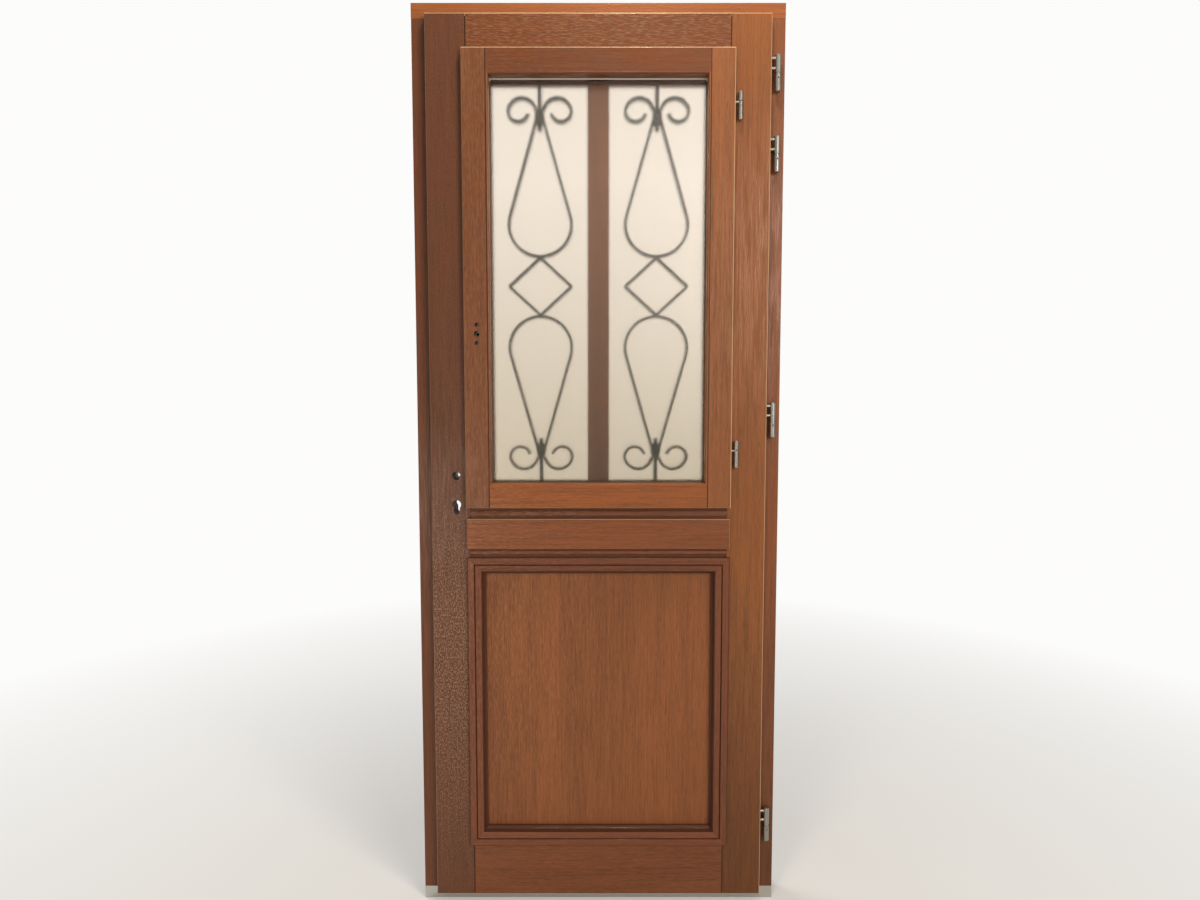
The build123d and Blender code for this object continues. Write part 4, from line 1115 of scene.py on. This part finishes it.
@dataclass(frozen=True)
class Lamp:
    """One soft square lamp."""

    name: str
    place: Triple
    target: Triple
    size: float
    power: float
    colour: Triple

    def hang(self) -> None:
        """Hang the lamp and point it at its target."""
        data = bpy.data.lights.new(self.name, "AREA")
        data.energy = self.power
        data.size = self.size
        data.color = self.colour
        lamp = bpy.data.objects.new(self.name, data)
        bpy.context.scene.collection.objects.link(lamp)
        lamp.location = self.place
        aim = Vector(self.target) - Vector(self.place)
        lamp.rotation_euler = aim.to_track_quat("-Z", "Y").to_euler()


@dataclass
class Studio:
    """Floor, light and camera."""

    lens: float = 20.28
    sensor: float = 36.0
    eye: Triple = (0.004, -1.675, 1.2428)
    tilt: float = 86.42
    lamps: tuple[Lamp, ...] = (
        Lamp("key_light", (1.7, -2.5, 2.1), (0.1, 0.0, 1.3), 1.3, 44.0, (1.0, 0.94, 0.84)),
        Lamp("ceiling_light", (0.12, -0.5, 3.1), (0.05, -0.1, 1.4), 0.2, 15.0, (1.0, 0.86, 0.62)),
        Lamp("fill_light", (-1.25, -2.75, 0.62), (-0.3, 0.0, 0.7), 0.8, 9.5, (1.0, 0.92, 0.76)),
        Lamp("outside_light", (-2.4, 1.6, 3.4), (0.0, 0.0, 1.2), 1.6, 50.0, (1.0, 1.0, 1.0)))
    floor_size: float = 8.0
    floor_drop: float = 0.001
    floor_tone: Tone = (226, 224, 220)
    floor_roughness: float = 0.85
    floor_middle: Triple = (0.0, 0.3, 0.0)
    floor_scale: float = 0.25
    floor_fade: Ramp = (0.2, 0.8, 0.25, 1.0)
    even_colour: Ramp = (1.0, 0.95, 0.89, 1.0)
    even_strength: float = 0.4

    def build(self) -> None:
        """Make the floor, the world, the lamps and the camera."""
        self.floor()
        self.world()
        for lamp in self.lamps:
            lamp.hang()
        camera = bpy.data.objects.new("camera", bpy.data.cameras.new("camera"))
        bpy.context.scene.collection.objects.link(camera)
        camera.data.lens = self.lens
        camera.data.sensor_width = self.sensor
        camera.location = self.eye
        camera.rotation_euler = (math.radians(self.tilt), 0.0, 0.0)
        bpy.context.scene.camera = camera
        bpy.context.scene.view_settings.view_transform = "Standard"

    def floor(self) -> None:
        """Lay a plain pale floor."""
        shape = bmesh.new()
        bmesh.ops.create_grid(shape, x_segments=1, y_segments=1, size=self.floor_size)
        mesh = bpy.data.meshes.new("floor")
        shape.to_mesh(mesh)
        shape.free()
        floor = bpy.data.objects.new("floor", mesh)
        bpy.context.scene.collection.objects.link(floor)
        floor.data.transform(Matrix.Translation((0, 0, -self.floor_drop)))
        mesh.materials.append(self.floor_finish())

    def floor_finish(self) -> bpy.types.Material:
        """Pale floor that keeps the door's shadow and fades into the background.

        Returns:
            The finished material.
        """
        bench = NodeBench("pale_floor")
        bench.shader.inputs["Base Color"].default_value = painted(*self.floor_tone)
        bench.shader.inputs["Roughness"].default_value = self.floor_roughness
        even = bench.add("ShaderNodeEmission")
        even.inputs["Color"].default_value = BACKGROUND
        place = bench.scaled(bench.object_place(), (1, 1, 1), self.floor_middle)
        length = bench.add("ShaderNodeVectorMath", operation="LENGTH")
        bench.join(place, length.inputs[0])
        away = bench.math("MULTIPLY", length.outputs["Value"], self.floor_scale)
        far = bench.fade(away, *self.floor_fade)
        path = bench.add("ShaderNodeLightPath")
        seen = bench.math("MAXIMUM", path.outputs["Is Camera Ray"],
                          path.outputs["Is Transmission Ray"])
        mix = bench.add("ShaderNodeMixShader")
        bench.join(bench.math("MULTIPLY", far, seen), mix.inputs["Fac"])
        bench.join(bench.shader.outputs["BSDF"], mix.inputs[1])
        bench.join(even.outputs["Emission"], mix.inputs[2])
        bench.join(mix.outputs["Shader"], bench.output.inputs["Surface"])
        return bench.material

    def world(self) -> None:
        """Light everything evenly and show a pale background."""
        world = bpy.data.worlds.new("studio")
        bpy.context.scene.world = world
        world.use_nodes = True
        tree = world.node_tree
        tree.nodes.clear()
        output = tree.nodes.new("ShaderNodeOutputWorld")
        mix = tree.nodes.new("ShaderNodeMixShader")
        even = tree.nodes.new("ShaderNodeBackground")
        even.inputs["Color"].default_value = self.even_colour
        even.inputs["Strength"].default_value = self.even_strength
        shown = tree.nodes.new("ShaderNodeBackground")
        shown.inputs["Color"].default_value = BACKGROUND
        shown.inputs["Strength"].default_value = 1.0
        path = tree.nodes.new("ShaderNodeLightPath")
        seen = tree.nodes.new("ShaderNodeMath")
        seen.operation = "MAXIMUM"
        tree.links.new(path.outputs["Is Camera Ray"], seen.inputs[0])
        tree.links.new(path.outputs["Is Transmission Ray"], seen.inputs[1])
        tree.links.new(seen.outputs[0], mix.inputs["Fac"])
        tree.links.new(even.outputs[0], mix.inputs[1])
        tree.links.new(shown.outputs[0], mix.inputs[2])
        tree.links.new(mix.outputs[0], output.inputs["Surface"])


def main() -> None:
    """Build and dress every sub-assembly, then light and frame the scene."""
    logging.basicConfig(level=logging.INFO)
    for assembly in (DoorFrame(), Leaf(), Casement(), Ironmongery()):
        assembly.dress()
        log.info("dressed %s", type(assembly).__name__)
    Fixings().build()
    Studio().build()


if __name__ == "__main__":
    main()
